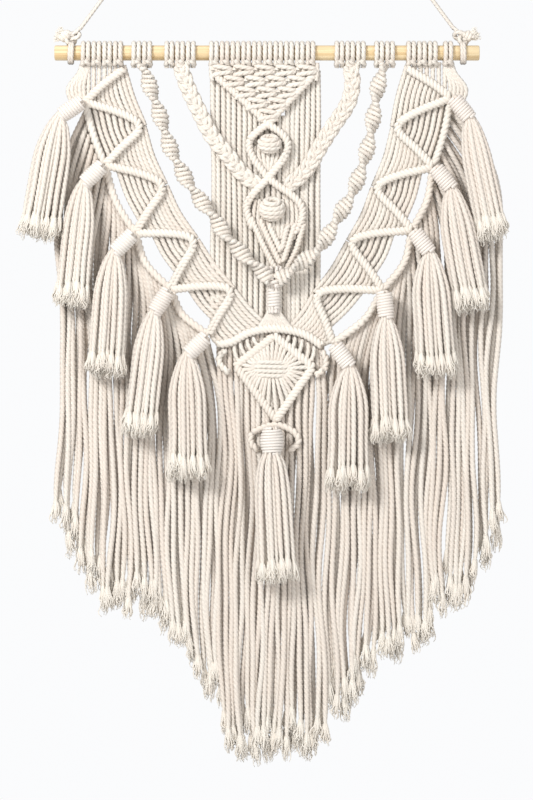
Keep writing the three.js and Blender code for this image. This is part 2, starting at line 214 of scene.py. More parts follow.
# %% Directions and light
GROOVE_LIGHT = 0.72  # the light at the bottom of a groove
OPEN_AT = 0.62  # a flank that faces the front or back by this much has no neighbour against it
FRAY_LIGHT = 0.95


def facing(line, front):
    """Two directions across the line at each of its points, the first towards front."""
    along = np.gradient(line, axis=0)
    along /= np.linalg.norm(along, axis=1)[:, None]
    u = np.broadcast_to(np.asarray(front, float), (len(line), 3))
    u = u - (u * along).sum(1)[:, None] * along
    u /= np.maximum(np.linalg.norm(u, axis=1), 1e-6)[:, None]
    return u, np.cross(along, u)


def light_on(reach, spokes, frayed, flank_shade):
    """Painted shade for each vertex, as the share of light it keeps: less in grooves and on crowded flanks."""
    low = reach.min()
    crest = np.ones(len(reach))
    if low < 0.99:
        crest = GROOVE_LIGHT + (1 - GROOVE_LIGHT) * (reach - low) / (1 - low)
    # flanks that face a neighbour get painted shade, as strong as the last argument says
    open_side = 1 - flank_shade * (1 - np.clip(np.abs(spokes[..., 1]) / OPEN_AT, 0, 1))
    open_side = np.maximum(open_side, FRAY_LIGHT * frayed[:, None])
    return np.minimum(crest, open_side)


print(f"a groove gets {GROOVE_LIGHT} of the light on a crest")

# %% [markdown]
# ## A pile of ropes
#
# A wing holds a hundred ropes, and an object for each would be slow to draw and dull to name. So ropes are
# swept into a pile, and a pile becomes one mesh. Its tone also shifts where each rope's twist and fibres
# begin, so no two ropes look alike.

# %% The pile
TWIST_SHIFT, FIBRE_SHIFT = 20, 999  # how far a rope's tone moves its twist and its fibres


class Pile:
    """The ropes and threads that will make one mesh."""

    def __init__(self):
        self.co, self.facts, self.fibre, self.quads, self.caps, self.count = [], [], [], [], [], 0

    def sweep(self, line, width, section, lay, front, tone, fray=(0, 0), flank_shade=1.0):
        """One tube along line. width and fray are values spread evenly along it, front is any direction
        that isn't along the line, and the last argument sets how dark the painted shade on its flanks is."""
        n, (angle, reach) = len(line), section
        u, v = facing(line, front)
        share = np.linspace(0, 1, n)
        far = share * length_of(line)
        half = np.interp(share, np.linspace(0, 1, len(width)), width) / 2
        turned = angle + (2 * math.pi * far / lay)[:, None] + tone * TWIST_SHIFT
        radius = half[:, None] * reach
        spokes = np.cos(turned)[..., None] * u[:, None] - np.sin(turned)[..., None] * v[:, None]
        self.co.append((line[:, None] + radius[..., None] * spokes).reshape(-1, 3))
        frayed = np.interp(share, np.linspace(0, 1, len(fray)), fray)
        grid = np.ones((n, len(angle)))
        # painted shade: the share of light that reaches each vertex, which the material paints into its colour
        lit = light_on(reach, spokes, frayed, flank_shade)
        self.facts.append(np.stack([grid * tone, lit, grid * frayed[:, None]], -1).reshape(-1, 3))
        depth = grid * (far[:, None] + tone * FIBRE_SHIFT)
        yarn = np.stack([radius * np.cos(angle), radius * np.sin(angle), depth], -1)
        self.fibre.append(yarn.reshape(-1, 3))
        self.skin(n, len(angle))

    def skin(self, n, k):
        """Faces between n rings of k points, and a cap at each end."""
        i = np.arange(n - 1)[:, None] * k + np.arange(k)
        j = np.arange(n - 1)[:, None] * k + (np.arange(k) + 1) % k
        self.quads.append(np.stack([i, i + k, j + k, j], -1).reshape(-1, 4) + self.count)
        first = np.arange(k) + self.count
        self.caps += [first.tolist(), (first[::-1] + (n - 1) * k).tolist()]
        self.count += n * k


print("a pile keeps:", ", ".join(vars(Pile())))

# %% [markdown]
# ## A twisted rope
#
# Most of the hanging is the same rope, so one helper smooths the given points and picks what is usual: a
# lobed section, a turn of the strands every 15 mm, and a tone by chance.

# %% A rope
def rope(pile, points, width=CORD, front=FRONT, step=1.5, lay=LAY, tone=None, section=ROPE,
         fray=(0, 0), flank_shade=1.0):
    """A twisted rope through the points. Returns its line."""
    line = evenly(points, step)
    tone = rng.random() if tone is None else tone
    width = width if np.ndim(width) else (width, width)
    pile.sweep(line, width, section, lay, front, tone, fray, flank_shade)
    return line


sample = Pile()
rope(sample, [(0, 0, 0), (0, 0, -100)], tone=0.5)
print(f"100 mm of rope has {sample.count} vertices")

# %% [markdown]
# ## From ropes to a piece
#
# A mesh is filled straight from the arrays, because tens of thousands of faces made one by one would take
# minutes. Each piece is then tied to a body of the CAD model, and says which plain solids it stands for.

# %% Making pieces
MESH_FACTS = {"yarn_facts": "facts", "yarn_place": "fibre"}  # an attribute, and the pile's list for it
made_faces = {}


def piece(name, pile, material, body, nodes=()):
    """The pile as one smooth mesh object that rides on body and stands for nodes."""
    mesh = bpy.data.meshes.new(name)
    co, quads = np.concatenate(pile.co) * MM, np.concatenate(pile.quads)
    caps = np.concatenate([np.array(c) for c in pile.caps])
    sizes = np.array([len(c) for c in pile.caps])
    loops = np.concatenate([quads.ravel(), caps]).astype(np.int32)
    totals = np.concatenate([np.full(len(quads), 4), sizes])
    mesh.vertices.add(len(co))
    mesh.vertices.foreach_set("co", co.astype(np.float32).ravel())
    mesh.loops.add(len(loops))
    mesh.loops.foreach_set("vertex_index", loops)
    mesh.polygons.add(len(totals))
    mesh.polygons.foreach_set("loop_start", np.concatenate([[0], np.cumsum(totals)[:-1]]).astype(np.int32))
    for attribute, kept in MESH_FACTS.items():
        values = mesh.attributes.new(attribute, "FLOAT_VECTOR", "POINT")
        values.data.foreach_set("vector", np.concatenate(getattr(pile, kept)).astype(np.float32).ravel())
    mesh.update()
    mesh.shade_smooth()
    mesh.materials.append(material)
    obj = bpy.data.objects.new(name, mesh)
    bpy.context.scene.collection.objects.link(obj)
    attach(obj, body)
    if nodes:
        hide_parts(*nodes)
    made_faces[name] = len(totals)
    return obj


def tell(*starts):
    """Print how many pieces have names that start like this, and their faces."""
    found = [count for name, count in made_faces.items() if name.startswith(starts)]
    print(f"{' and '.join(starts)}: {len(found)} pieces, {sum(found)} faces")

# %% [markdown]
# ## Cotton
#
# Undyed cotton isn't one colour: some cords are creamier, some greyer or pinker, and cut ends are yellower,
# and paler with painted light. Light sinks into the grooves between the strands, and that is painted into the
# colour as shade. One node group makes all of this from the facts on the vertices, with fibres that run along
# the yarn, and each material places it with its own values.

# %% Node helpers
def link(tree, value, place):
    """Put a socket's value, or a number or colour, into a node's input."""
    if isinstance(value, bpy.types.NodeSocket):
        tree.links.new(value, place)
    else:
        place.default_value = value


def add_node(tree, kind, **values):
    node = tree.nodes.new(kind)
    for key, value in values.items():
        setattr(node, key, value)
    return node


def worked(tree, operation, *values):
    """The result of a Math node."""
    node = add_node(tree, "ShaderNodeMath", operation=operation)
    for value, place in zip(values, node.inputs):
        link(tree, value, place)
    return node.outputs[0]


def ranged(tree, value, low, high, start=0.0, end=1.0, curve="LINEAR"):
    """A value from start to end, moved to between low and high."""
    node = add_node(tree, "ShaderNodeMapRange", interpolation_type=curve)
    places = ("Value", "From Min", "From Max", "To Min", "To Max")
    for name, given in zip(places, (value, start, end, low, high)):
        link(tree, given, node.inputs[name])
    return node.outputs[0]


def mixed(tree, factor, a, b):
    """A colour between a and b."""
    node = add_node(tree, "ShaderNodeMix", data_type="RGBA", clamp_factor=True)
    for name, given in (("Factor", factor), ("A", a), ("B", b)):
        link(tree, given, node.inputs[name])
    return node.outputs["Result"]


def noise(tree, where, scale, detail=2.0, distortion=0.0):
    node = add_node(tree, "ShaderNodeTexNoise")
    places = ("Vector", "Scale", "Detail", "Distortion")
    for name, given in zip(places, (where, scale, detail, distortion)):
        link(tree, given, node.inputs[name])
    return node.outputs[0]


print(f"{len(bpy.data.materials)} materials before the cotton")

# %% [markdown]
# ## The yarn group
#
# Every cotton finish here shares the same effect, so it is one node group. Its inputs are the two colours
# that cords lie between, how dark the painted shade in a groove gets, and the scale of the fibres. It puts out
# a colour with that shade painted in, a height and a roughness.

# %% The group's sockets
yarn_group = bpy.data.node_groups.new("spun_yarn", "ShaderNodeTree")
for name, kind, way, usual in (
    ("Pale", "NodeSocketColor", "INPUT", (0.84, 0.79, 0.72, 1)),
    ("Warm", "NodeSocketColor", "INPUT", (0.76, 0.67, 0.57, 1)),
    ("Groove", "NodeSocketFloat", "INPUT", 0.62),
    ("Fibre Scale", "NodeSocketFloat", "INPUT", 2.6),
    ("Color", "NodeSocketColor", "OUTPUT", None),
    ("Height", "NodeSocketFloat", "OUTPUT", None),
    ("Roughness", "NodeSocketFloat", "OUTPUT", None),
):
    made = yarn_group.interface.new_socket(name=name, in_out=way, socket_type=kind)
    if usual is not None:
        made.default_value = usual
print("spun_yarn:", [socket.name for socket in yarn_group.interface.items_tree])

# %% [markdown]
# ## Colour of a cord
#
# Cotton's colour changes from cord to cord and slowly along each. Where the strands open at a cut end, they
# are tinted paler and yellower: partly the colour of loose fibres, partly painted light for the light that
# goes through them.

# %% Tint and shade
# frayed ends: partly the paler colour of loose fibres, partly painted light for the light through them
FRAY_TINT_AND_LIGHT = (0.92, 0.87, 0.78, 1)
FIBRE_STRETCH = (1.0, 1.0, 0.13)  # fibres are this much longer than wide


def cord_tint(tree, given, place, tone, frayed):
    """Pale to warm by the cord's tone and slow blotches, then towards the paler frayed tint and painted light.
    """
    blotch = noise(tree, place, 0.05)
    mood = worked(tree, "MULTIPLY_ADD", blotch, 0.55, worked(tree, "MULTIPLY", tone, 0.6))
    base = mixed(tree, mood, given["Pale"], given["Warm"])
    return mixed(tree, worked(tree, "MULTIPLY", frayed, 0.6), base, FRAY_TINT_AND_LIGHT)


def fibre_noise(tree, given, place):
    """Fine noise, drawn out along the yarn."""
    stretch = add_node(tree, "ShaderNodeVectorMath", operation="MULTIPLY")
    link(tree, place, stretch.inputs[0])
    stretch.inputs[1].default_value = FIBRE_STRETCH
    return noise(tree, stretch.outputs[0], given["Fibre Scale"], 3.0)


print(f"fibres are {1 / FIBRE_STRETCH[2]:.0f} times as long as wide")

# %% [markdown]
# ## Filling the group
#
# The facts on the vertices come in as two attributes. Colour is the cord's tint, with painted shade in the
# grooves and on crowded flanks, and darkened a little by the fibres. Height and roughness come from the same
# fibres.

# %% Filling the group
def fill_yarn_group(tree):
    given = add_node(tree, "NodeGroupInput").outputs
    out = add_node(tree, "NodeGroupOutput").inputs
    facts = add_node(tree, "ShaderNodeAttribute", attribute_name="yarn_facts").outputs["Vector"]
    place = add_node(tree, "ShaderNodeAttribute", attribute_name="yarn_place").outputs["Vector"]
    parts = add_node(tree, "ShaderNodeSeparateXYZ")
    link(tree, facts, parts.inputs[0])
    tone, lit, frayed = parts.outputs
    fibres = fibre_noise(tree, given, place)
    # painted shade: the light fact darkens the colour, down to the Groove value at the bottom of a groove
    depth = ranged(tree, lit, given["Groove"], 1.0, curve="SMOOTHSTEP")
    shade = ranged(tree, fibres, 0.88, 1.05, 0.25, 0.75)
    colour = add_node(tree, "ShaderNodeVectorMath", operation="SCALE")
    link(tree, cord_tint(tree, given, place, tone, frayed), colour.inputs[0])
    link(tree, worked(tree, "MULTIPLY", depth, shade), colour.inputs["Scale"])
    link(tree, colour.outputs[0], out["Color"])
    link(tree, fibres, out["Height"])
    link(tree, ranged(tree, fibres, 0.85, 1.0), out["Roughness"])


fill_yarn_group(yarn_group)
print("nodes in the yarn group:", len(yarn_group.nodes))

# %% [markdown]
# ## Three cottons
#
# The shader stays in each material, with the even values on its own sockets: little gloss, and some sheen,
# because loose fibres catch light at the edges of a cord. Wrappings are wound tight and paler, and the
# fringe is warmer.

# %% The cotton materials
def cotton_material(name, pale, warm, groove, fibre_scale, bump):
    material = bpy.data.materials.new(name)
    material.use_nodes = True
    tree = material.node_tree
    shader = tree.nodes["Principled BSDF"]
    shader.inputs["Sheen Weight"].default_value = 0.25
    shader.inputs["Sheen Roughness"].default_value = 0.5
    shader.inputs["Specular IOR Level"].default_value = 0.2
    yarn = add_node(tree, "ShaderNodeGroup", node_tree=yarn_group)
    yarn.inputs["Pale"].default_value = (*pale, 1)
    yarn.inputs["Warm"].default_value = (*warm, 1)
    yarn.inputs["Groove"].default_value = groove
    yarn.inputs["Fibre Scale"].default_value = fibre_scale
    relief = add_node(tree, "ShaderNodeBump")
    relief.inputs["Strength"].default_value = bump
    relief.inputs["Distance"].default_value = 0.0004
    link(tree, yarn.outputs["Color"], shader.inputs["Base Color"])
    link(tree, yarn.outputs["Roughness"], shader.inputs["Roughness"])
    link(tree, yarn.outputs["Height"], relief.inputs["Height"])
    link(tree, relief.outputs[0], shader.inputs["Normal"])
    return material


# after the two colours comes how dark the painted shade in a groove gets
COTTON = cotton_material("cotton_rope", (0.90, 0.85, 0.77), (0.85, 0.76, 0.67), 0.36, 2.6, 0.5)
WRAP = cotton_material("cotton_wrapping", (0.92, 0.87, 0.81), (0.87, 0.79, 0.72), 0.40, 4.0, 0.4)
FRINGE = cotton_material("cotton_fringe", (0.90, 0.84, 0.76), (0.83, 0.73, 0.64), 0.32, 2.6, 0.5)
print("cotton materials:", [m.name for m in (COTTON, WRAP, FRINGE)])

# %% [markdown]
# ## Frayed ends
#
# A cut rope that nothing holds comes undone: the strands open and the yarns spread into a soft brush. Each
# tuft is a handful of thin tapered threads that start inside the rope's end and bend outwards by chance.

# %% Frayed ends
BRUSH_CORE = (3.2, 4.6, 4.6, 3.6, 1.2)  # widths of the soft core, from the rope out
NEARLY_FRONT = (0, -1, 0.01)  # a thread may run straight to the front, so this is never along it


def tuft(pile, tip, way, length=20.0, spread=4.5, count=15, width=1.7):
    """A soft core that swells past the rope's tip along way, and threads that leave it and curl."""
    way = np.asarray(way, float) / np.linalg.norm(way)
    side = np.cross(way, (0, 1, 0))
    side /= np.linalg.norm(side)
    deep = np.cross(way, side)
    tone, swing = rng.random(), (rng.random() - 0.5) * 0.8 * spread
    core = [tip - way * 5, tip + way * length * 0.2 + side * swing * 0.2]
    core.append(tip + way * length * 0.7 + side * swing)
    pile.sweep(evenly(core, 2.0), BRUSH_CORE, THREAD, 30.0, NEARLY_FRONT, tone, (0.7, 0.7))
    for k in range(count):
        turn = 2 * math.pi * (k + rng.random()) / count
        out = math.cos(turn) * side + 0.6 * math.sin(turn) * deep
        reach = spread * (0.4 + 0.6 * rng.random())
        far = length * (0.55 + 0.45 * rng.random())
        curl = (rng.random(2) - 0.5) * 0.9 * spread
        points = [
            tip + out * 1.7 - way * (2 + 4 * rng.random()),
            tip + out * (2.0 + 0.3 * reach) + side * swing * 0.2 + way * far * 0.25,
            tip + out * (1.4 + 0.6 * reach) + side * (curl[0] + swing * 0.6) + way * far * 0.6,
            tip + out * reach + side * (curl[1] + swing) + way * far * 0.85,
            tip + out * reach * 0.8 + side * (curl[0] * 0.6 + swing) + way * far,
        ]
        line = evenly(points, far / 8)
        taper = (width, width, width * 0.9, width * 0.4)
        pile.sweep(line, taper, WISP, 14.0, NEARLY_FRONT, tone, (1, 1))


print(f"the core of a brush is up to {max(BRUSH_CORE)} mm thick")

# %% [markdown]
# ## Where a solid starts and ends
#
# The straight cords fill flat CAD solids whose outlines follow the knotwork above and the trimmed hem below.
# Cutting the solid's own edges with a vertical line tells each cord where to begin and where to stop.

# %% Reading a solid's outline
EDGE = 1.5  # a solid's sides may lean, so nothing is read closer to them than this


def outline_at(node, x):
    """The highest and the lowest z, in millimetres, of a flat solid at x."""
    mesh = NODES[node].data
    co = np.array([v.co for v in mesh.vertices]) / MM
    x = min(max(x, co[:, 0].min() + EDGE), co[:, 0].max() - EDGE)
    found = []
    for edge in mesh.edges:
        a, b = co[edge.vertices[0]], co[edge.vertices[1]]
        if (a[0] - x) * (b[0] - x) <= 0 and abs(a[0] - b[0]) > 1e-6:
            found.append(a[2] + (b[2] - a[2]) * (x - a[0]) / (b[0] - a[0]))
    return max(found), min(found)


print(f"{len(NODES['fringe_left'].data.edges)} edges bound the left fringe")

# %% [markdown]
# ## The dowel
#
# The rod is sanded pine. A wave texture would give even rings, but thin pine shows long uneven streaks, so a
# noise texture is stretched some forty times along the rod. The same noise sets the colour, the roughness
# and the relief, because the dark grain of a pine is also harder and smoother.

# %% The pine finish
GRAIN_SCALE = (6.0, 260.0, 260.0)  # streaks lie along x
DARK_GRAIN, LIGHT_GRAIN = (0.62, 0.43, 0.21, 1), (0.86, 0.69, 0.43, 1)


def pine_material():
    material = bpy.data.materials.new("pine")
    material.use_nodes = True
    tree = material.node_tree
    shader = tree.nodes["Principled BSDF"]
    shader.inputs["Specular IOR Level"].default_value = 0.35
    where = add_node(tree, "ShaderNodeTexCoord")
    stretch = add_node(tree, "ShaderNodeMapping")
    stretch.inputs["Scale"].default_value = GRAIN_SCALE
    link(tree, where.outputs["Object"], stretch.inputs["Vector"])
    grain = noise(tree, stretch.outputs[0], 1.0, 4.0, 0.6)
    ramp = add_node(tree, "ShaderNodeValToRGB")
    stops = ramp.color_ramp.elements
    stops[0].position, stops[0].color = 0.34, DARK_GRAIN
    stops[1].position, stops[1].color = 0.60, LIGHT_GRAIN
    link(tree, grain, ramp.inputs[0])
    link(tree, ramp.outputs[0], shader.inputs["Base Color"])
    link(tree, ranged(tree, grain, 0.42, 0.68), shader.inputs["Roughness"])
    relief = add_node(tree, "ShaderNodeBump")
    relief.inputs["Strength"].default_value = 0.25
    relief.inputs["Distance"].default_value = 0.0003
    link(tree, grain, relief.inputs["Height"])
    link(tree, relief.outputs[0], shader.inputs["Normal"])
    return material


PINE = pine_material()
print("nodes in the pine:", len(PINE.node_tree.nodes))

# %% [markdown]
# ## The rod
#
# The dowel is cut square and its edges are broken with a little sandpaper. It is swept like a rope, with a
# round section that doesn't twist. Then the rings at both ends are drawn in, which makes the bevel.

# %% The rod
ROD_SIDES = 64
BEVEL = 0.8
NO_TWIST = 1e9  # so long a lay that the section never turns


def build_rod():
    low, high = box_of("dowel")
    x0, x1 = low[0], high[0]
    radius = (high[2] - low[2]) / 2
    stations = [x0, x0 + BEVEL, *np.linspace(x0 + BEVEL, x1 - BEVEL, 12)[1:-1], x1 - BEVEL, x1]
    pile = Pile()
    line = np.array([(x, 0.0, DOWEL_Z) for x in stations])
    pile.sweep(line, (2 * radius, 2 * radius), ring(ROD_SIDES), NO_TWIST, FRONT, 0.0)
    grid = pile.co[0].reshape(len(stations), ROD_SIDES, 3)
    centre = line[:, None]
    for end in (0, -1):
        grid[end] = centre[end] + (grid[end] - centre[end]) * (1 - BEVEL / radius)
    pile.co[0] = grid.reshape(-1, 3)
    return piece("dowel_rod", pile, PINE, "panel", ["dowel"])


build_rod()
tell("dowel_rod")

# %% [markdown]
# ## Lark's heads
#
# Each cord is folded in half and hung on the dowel by its bend: both ends go over the front, up and down the
# back, and the bend crosses in front of them just under the wood. Each pair of strands is one rope here,
# which follows that whole route, because the crossing is what the eye looks for.

# %% Lark's head knots
TAIL_Y = -4.5
WRAP_ANGLES = (-38, -15, 10, 40, 65, 90, 115, 145, 175, 205, 235)  # where a strand lies on the wood


def round_dowel(x, degrees, radius):
    """A point beside the dowel, at an angle that runs from the front over the top to the back."""
    a = math.radians(degrees)
    return (x, -radius * math.cos(a), DOWEL_Z + radius * math.sin(a))


def larks_head(pile, x0, x1):
    """A folded cord hung on the dowel, with its two strands at x0 and x1."""
    near, wide = DOWEL_R + CORD / 2, DOWEL_R + CORD * 1.2
    middle, side = (x0 + x1) / 2, (x1 - x0) / 2
    left, right = [], []
    for way, strand in ((-1, left), (1, right)):
        x = middle + way * side * 0.94
        strand += [(x, TAIL_Y, PANEL_TOP - 2.5), (x, TAIL_Y - 1.5, DOWEL_Z - 10.6)]
        strand += [round_dowel(x, d, near - 0.1) for d in WRAP_ANGLES]
        strand.append(round_dowel(x + way * 0.6, 268, near + 1.2))
        strand.append(round_dowel(middle + way * side * 1.2, 303, wide + 1))
    route = left + [round_dowel(middle, 322, wide + 2)] + right[::-1]
    rope(pile, route, CORD, (1, 0, 0.02), 1.3, flank_shade=0.6)


print(f"a strand touches the wood over {WRAP_ANGLES[-1] - WRAP_ANGLES[0]} degrees")

# %% [markdown]
# ## The row of heads
#
# The CAD solids say where each group of heads sits. A group is filled with as many strands as fit side by
# side, two to a head.

# %% The row of heads
def build_heads():
    for node in sorted(n for n in NODES if n.startswith("larks_heads_")):
        x0, x1 = (corner[0] for corner in box_of(node))
        strands = round((x1 - x0) / (CORD + 0.35))
        pitch = (x1 - x0) / strands
        pile = Pile()
        for k in range(0, strands, 2):
            larks_head(pile, x0 + pitch * (k + 0.5), x0 + pitch * (k + 1.5))
        piece(node.replace("larks_heads", "heads"), pile, COTTON, "panel", [node])


build_heads()
tell("heads")

# %% [markdown]
# ## A wound cord
#
# Tassels and the gathered neck are bound with thin cord, wound close. Each turn could be a ring, but then
# every one would need its own joint, so the winding is one helix. A winding over soft cords bulges in the
# middle, and barrel says how much less its ends measure.

# %% A wound cord
COIL_STEPS = 36  # points round one turn


def coil(pile, a, b, radius, cord, lay=9.0, barrel=0.1):
    """Close turns of cord round the line from a to b, drawn in a little at both ends."""
    a, b = np.asarray(a, float), np.asarray(b, float)
    way = (b - a) / np.linalg.norm(b - a)
    front = np.array(FRONT, float)
    side = np.cross(way, front)
    turns = max(1, int(round(np.linalg.norm(b - a) / cord)))
    n = turns * COIL_STEPS
    turn = 2 * math.pi * np.arange(n + 1) / COIL_STEPS
    share = np.linspace(0, 1, n + 1)
    swell = (radius - cord / 2) * (1 - barrel * (2 * share - 1) ** 2)
    line = a + (b - a) * share[:, None]
    line = line + (np.cos(turn) * swell)[:, None] * front + (np.sin(turn) * swell)[:, None] * side
    pile.sweep(line, (cord * 1.1, cord * 1.1), THREAD, lay, way + (1e-3, 0, 0), rng.random(), flank_shade=0.3)


print(f"one turn of a winding has {COIL_STEPS} points")

# %% [markdown]
# ## The hanger cord
#
# A thinner cord runs up from the dowel, over the hook and down again. Both its ends are fixed and the hook
# keeps it taut, so it isn't a cord that lies free. Its legs are straight, with the least bow, and a round
# bend joins them.

# %% The hanger cord
HANGER_D = 4.4
HOOK_BEND, BEND_Z = 9.25, -7.0  # radius and height of the bend over the hook
BEND_ANGLES = (-60, -30, 0, 30, 60)


def build_hanger_cord():
    low, high = box_of("hanger_cord")
    reach, foot = high[0] - 1.9, low[2] + 1.4
    turn = [math.radians(d) for d in BEND_ANGLES]
    over = [(HOOK_BEND * math.sin(a), 0.0, BEND_Z + HOOK_BEND * math.cos(a)) for a in turn]
    left = [(-reach, 0.0, foot), (-reach * 0.62, 0.0, foot * 0.64), (-reach * 0.3, 0.0, foot * 0.335)]
    right = [(-x, y, z) for x, y, z in left[::-1]]
    pile = Pile()
    line = rope(pile, left + over + right, HANGER_D, FRONT, 1.8, 13.0, 0.35)
    piece("hanger_rope", pile, COTTON, "hanger", ["hanger_cord"])
    print(f"the hanger cord is {length_of(line):.0f} mm long from tie to tie")


build_hanger_cord()

# %% [markdown]
# ## The ties of the hanger
#
# At each end the cord goes round the dowel twice and is tied to itself on top. The knot is a trefoil, the
# simplest closed knot, drawn small enough for its turns to touch. A few more turns make it bulky, and two
# short frayed ends stick out.

# %% The ties of the hanger
def trefoil(wide, deep, high):
    """Points round a trefoil knot about the origin."""
    t = np.linspace(0, 2 * math.pi, 40)
    x = (np.sin(t) + 2 * np.sin(2 * t)) * wide
    z = (np.cos(t) - 2 * np.cos(2 * t)) * high
    return np.stack([x, -np.sin(3 * t) * deep, z], 1)


def build_hanger_tie(way, name):
    x, near = sum(box_of(f"hanger_knot_{name}"))[0] / 2, DOWEL_R + HANGER_D / 2
    pile = Pile()
    turns = [round_dowel(x - way * (2.3 - 4.6 * k / 24), 90 - 30 * k, near) for k in range(25)]
    turns = [(x - way * 2, 0, DOWEL_Z + 14), *turns, (x + way * 2, 0, DOWEL_Z + 14)]
    rope(pile, turns, HANGER_D, (1, 0, 0.1), 1.5)
    spot = np.array([x, 0.0, DOWEL_Z + DOWEL_R + 8.4])
    rope(pile, spot + trefoil(3.2, 3.2, 2.2), HANGER_D * 1.1, NEARLY_FRONT, 1.4)
    leg = spot + (-way * 9.5, 0, 9.1)
    rope(pile, [spot + (way * 2, -2, 2), spot + (-way * 4, -1.5, 4), leg], HANGER_D, FRONT, 1.4)
    coil(pile, spot + (way * 1.5, -1, 3.5), spot + (way * 9, -1, -1.5), 5.2, 3.6, 9.0, 0.3)
    for k, (out, rise) in enumerate(((10.0, -0.5), (8.0, 3.0))):
        tail = spot + (way * out, -1 - k, rise)
        rope(pile, [spot + (way * 1, -1, 3), spot + (way * 5, -2, 2.5), tail], HANGER_D * 0.9, FRONT, 1.4)
        tuft(pile, tail, (way * (0.9 - 0.2 * k), -0.1, 0.1 + 0.45 * k), 8.0, 4.0, 14, 1.1)
    piece(f"hanger_tie_{name}", pile, COTTON, "hanger", [f"hanger_knot_{name}"])


for way, name in ((-1, "left"), (1, "right")):
    build_hanger_tie(way, name)
tell("hanger")

# %% [markdown]
# ## Square knots
#
# In a square knot one outer cord crosses in front of the two inner ones and back, and the other crosses
# behind them. Both are mirror images about the knot's middle, so half a route of each is written down and
# turned over.

# %% Square knots
KNOT_W = 8.0
HALF_OVER = [(-1, 0, 6.2), (-1.03, -0.8, 4.7), (-0.6, -2.8, 3.8)]
HALF_OVER += [(0, -3.4, 3.0), (0.7, -2.8, 2.2), (1.12, -1, 1.3)]
HALF_UNDER = [(1, 0.5, 6.2), (1.05, 0.8, 5), (0.6, 2.8, 3.4)]
HALF_UNDER += [(0, 3, 2.6), (-0.7, 2.4, 1.9), (-1.08, 0, 1.3)]
MEETING = {1: (1.18, -0.2, 0), -1: (-1.15, -1.8, 0)}


def square_knot(pile, x, z, tone):
    """One cord crosses in front twice, the other behind twice, round two straight ones."""
    for way, half in ((1, HALF_OVER), (-1, HALF_UNDER)):
        route = half + [MEETING[way]] + [(a, b, -c) for a, b, c in half[::-1]]
        route = [(x + KNOT_W * a, KNOTS_Y + b, z + c) for a, b, c in route]
        rope(pile, route, 5.2, (0, -0.3, 1), 1.2, LAY, tone, flank_shade=0.5)
    for way in (-1, 1):
        rope(pile, [(x + way * 2.6, KNOTS_Y, z + 6.2), (x + way * 2.6, KNOTS_Y, z - 6.2)], 4.8)


print(f"a square knot is {2 * KNOT_W:.0f} mm wide")

# %% [markdown]
# ## The net
#
# The knots of each row take two cords from each neighbour above, which closes the cords into a net. Each row
# has one knot fewer than the last, so the net ends in a point.

# %% The net
ROWS, ROW_STEP, KNOT_STEP = 5, 11.0, 21.0


def build_square_knots():
    pile = Pile()
    for row in range(ROWS):
        z = PANEL_TOP - 5.6 - ROW_STEP * row
        for j in range(ROWS - row):
            square_knot(pile, -3 + row + KNOT_STEP * (j - (ROWS - 1 - row) / 2), z, rng.random())
    for x in (-55.6, -50.4, 44.8, 50.0):
        rope(pile, [at(x, -2), at(x, 8), at(x * 0.98, 16)], CORD)
    piece("square_knots", pile, COTTON, "panel", ["square_knot_panel"])


build_square_knots()
tell("square_knots")

# %% [markdown]
# ## Bars of hitches
#
# A bar is a core cord with every other cord hitched round it twice, so what shows is a tight row of coils.
# One helix along the bar's line gives that look. It is slightly flattened, its step is a little under a
# cord's width, and its turns slant, because each hitch is pulled down to the next. The core cord fills its
# middle.

# %% Hitched bars
HITCH_STEPS = 14  # points round one hitch


def bar(pile, points, width=8.6, y=KNOTS_Y, cord=4.6, pitch=4.2, deep=8.2, slant=1.5):
    """A coil of cord round the line through pattern points [x, z], or [x, z, y], and the core in it."""
    route = [at(p[0], p[1], p[2] if len(p) > 2 else y) for p in points]
    core = evenly(route, pitch / HITCH_STEPS)
    along, across = frame_along(core)
    turn = 2 * math.pi * np.arange(len(core)) / HITCH_STEPS
    line = core + (width - cord) / 2 * np.cos(turn)[:, None] * across
    line += slant * np.cos(turn)[:, None] * along
    line[:, 1] += (deep - cord) / 2 * np.sin(turn)
    pile.sweep(line, (cord, cord), SOFT, LAY, (1.0, 0.05, 0.35), rng.random(), flank_shade=0.75)
    pile.sweep(core[::7], (width * 0.7, width * 0.7), SOFT, LAY, FRONT, rng.random())


print(f"one hitch has {HITCH_STEPS} points")

# %% [markdown]
# ## The V of bars
#
# Two bars under the net follow its slanted edges down to the middle, and meet there.

# %% The V of bars
V_LEFT = [(-51, 11), (-24, 35), (3, 60.5)]
V_RIGHT = [(46, 10.5), (23, 34.5), (0, 59)]


def build_v_bars():
    pile = Pile()
    bar(pile, V_LEFT)
    bar(pile, V_RIGHT)
    piece("v_bar_coils", pile, COTTON, "panel", ["v_bars"])


build_v_bars()
tell("v_bar")

# %% [markdown]
# ## Berry knots
#
# A berry knot is a short column of square knots rolled up on itself, so what shows is a ball wound with
# rope. A ball of rings does that, tilted so that the upper ones show as arcs.

# %% Berry knots
TILT = 0.5


def berry(pile, node, rows):
    """A ball of rope rings, tilted so that its upper turns show."""
    low, high = box_of(node)
    middle, half = (low + high) / 2, (high - low) / 2
    cord = 2.3 * half[2] / rows
    t = np.linspace(0, 2 * math.pi, 32)
    for k in range(rows):
        h = -1 + (2 * k + 1) / rows
        w = math.sqrt(1 - h * h)
        x, y, z = w * np.sin(t), w * np.cos(t), np.full(len(t), h)
        y, z = y * math.cos(TILT) - z * math.sin(TILT), y * math.sin(TILT) + z * math.cos(TILT)
        rim = (half - cord * 0.42) * np.stack([x, y, z], 1)
        rope(pile, middle + rim, cord, (0.1, -0.9, 0.2), 1.2, flank_shade=0.5)
    rise = np.array([0, 0, half[2] * 0.5])
    rope(pile, [middle - rise, middle + rise], half[1] * 1.6, section=SOFT)


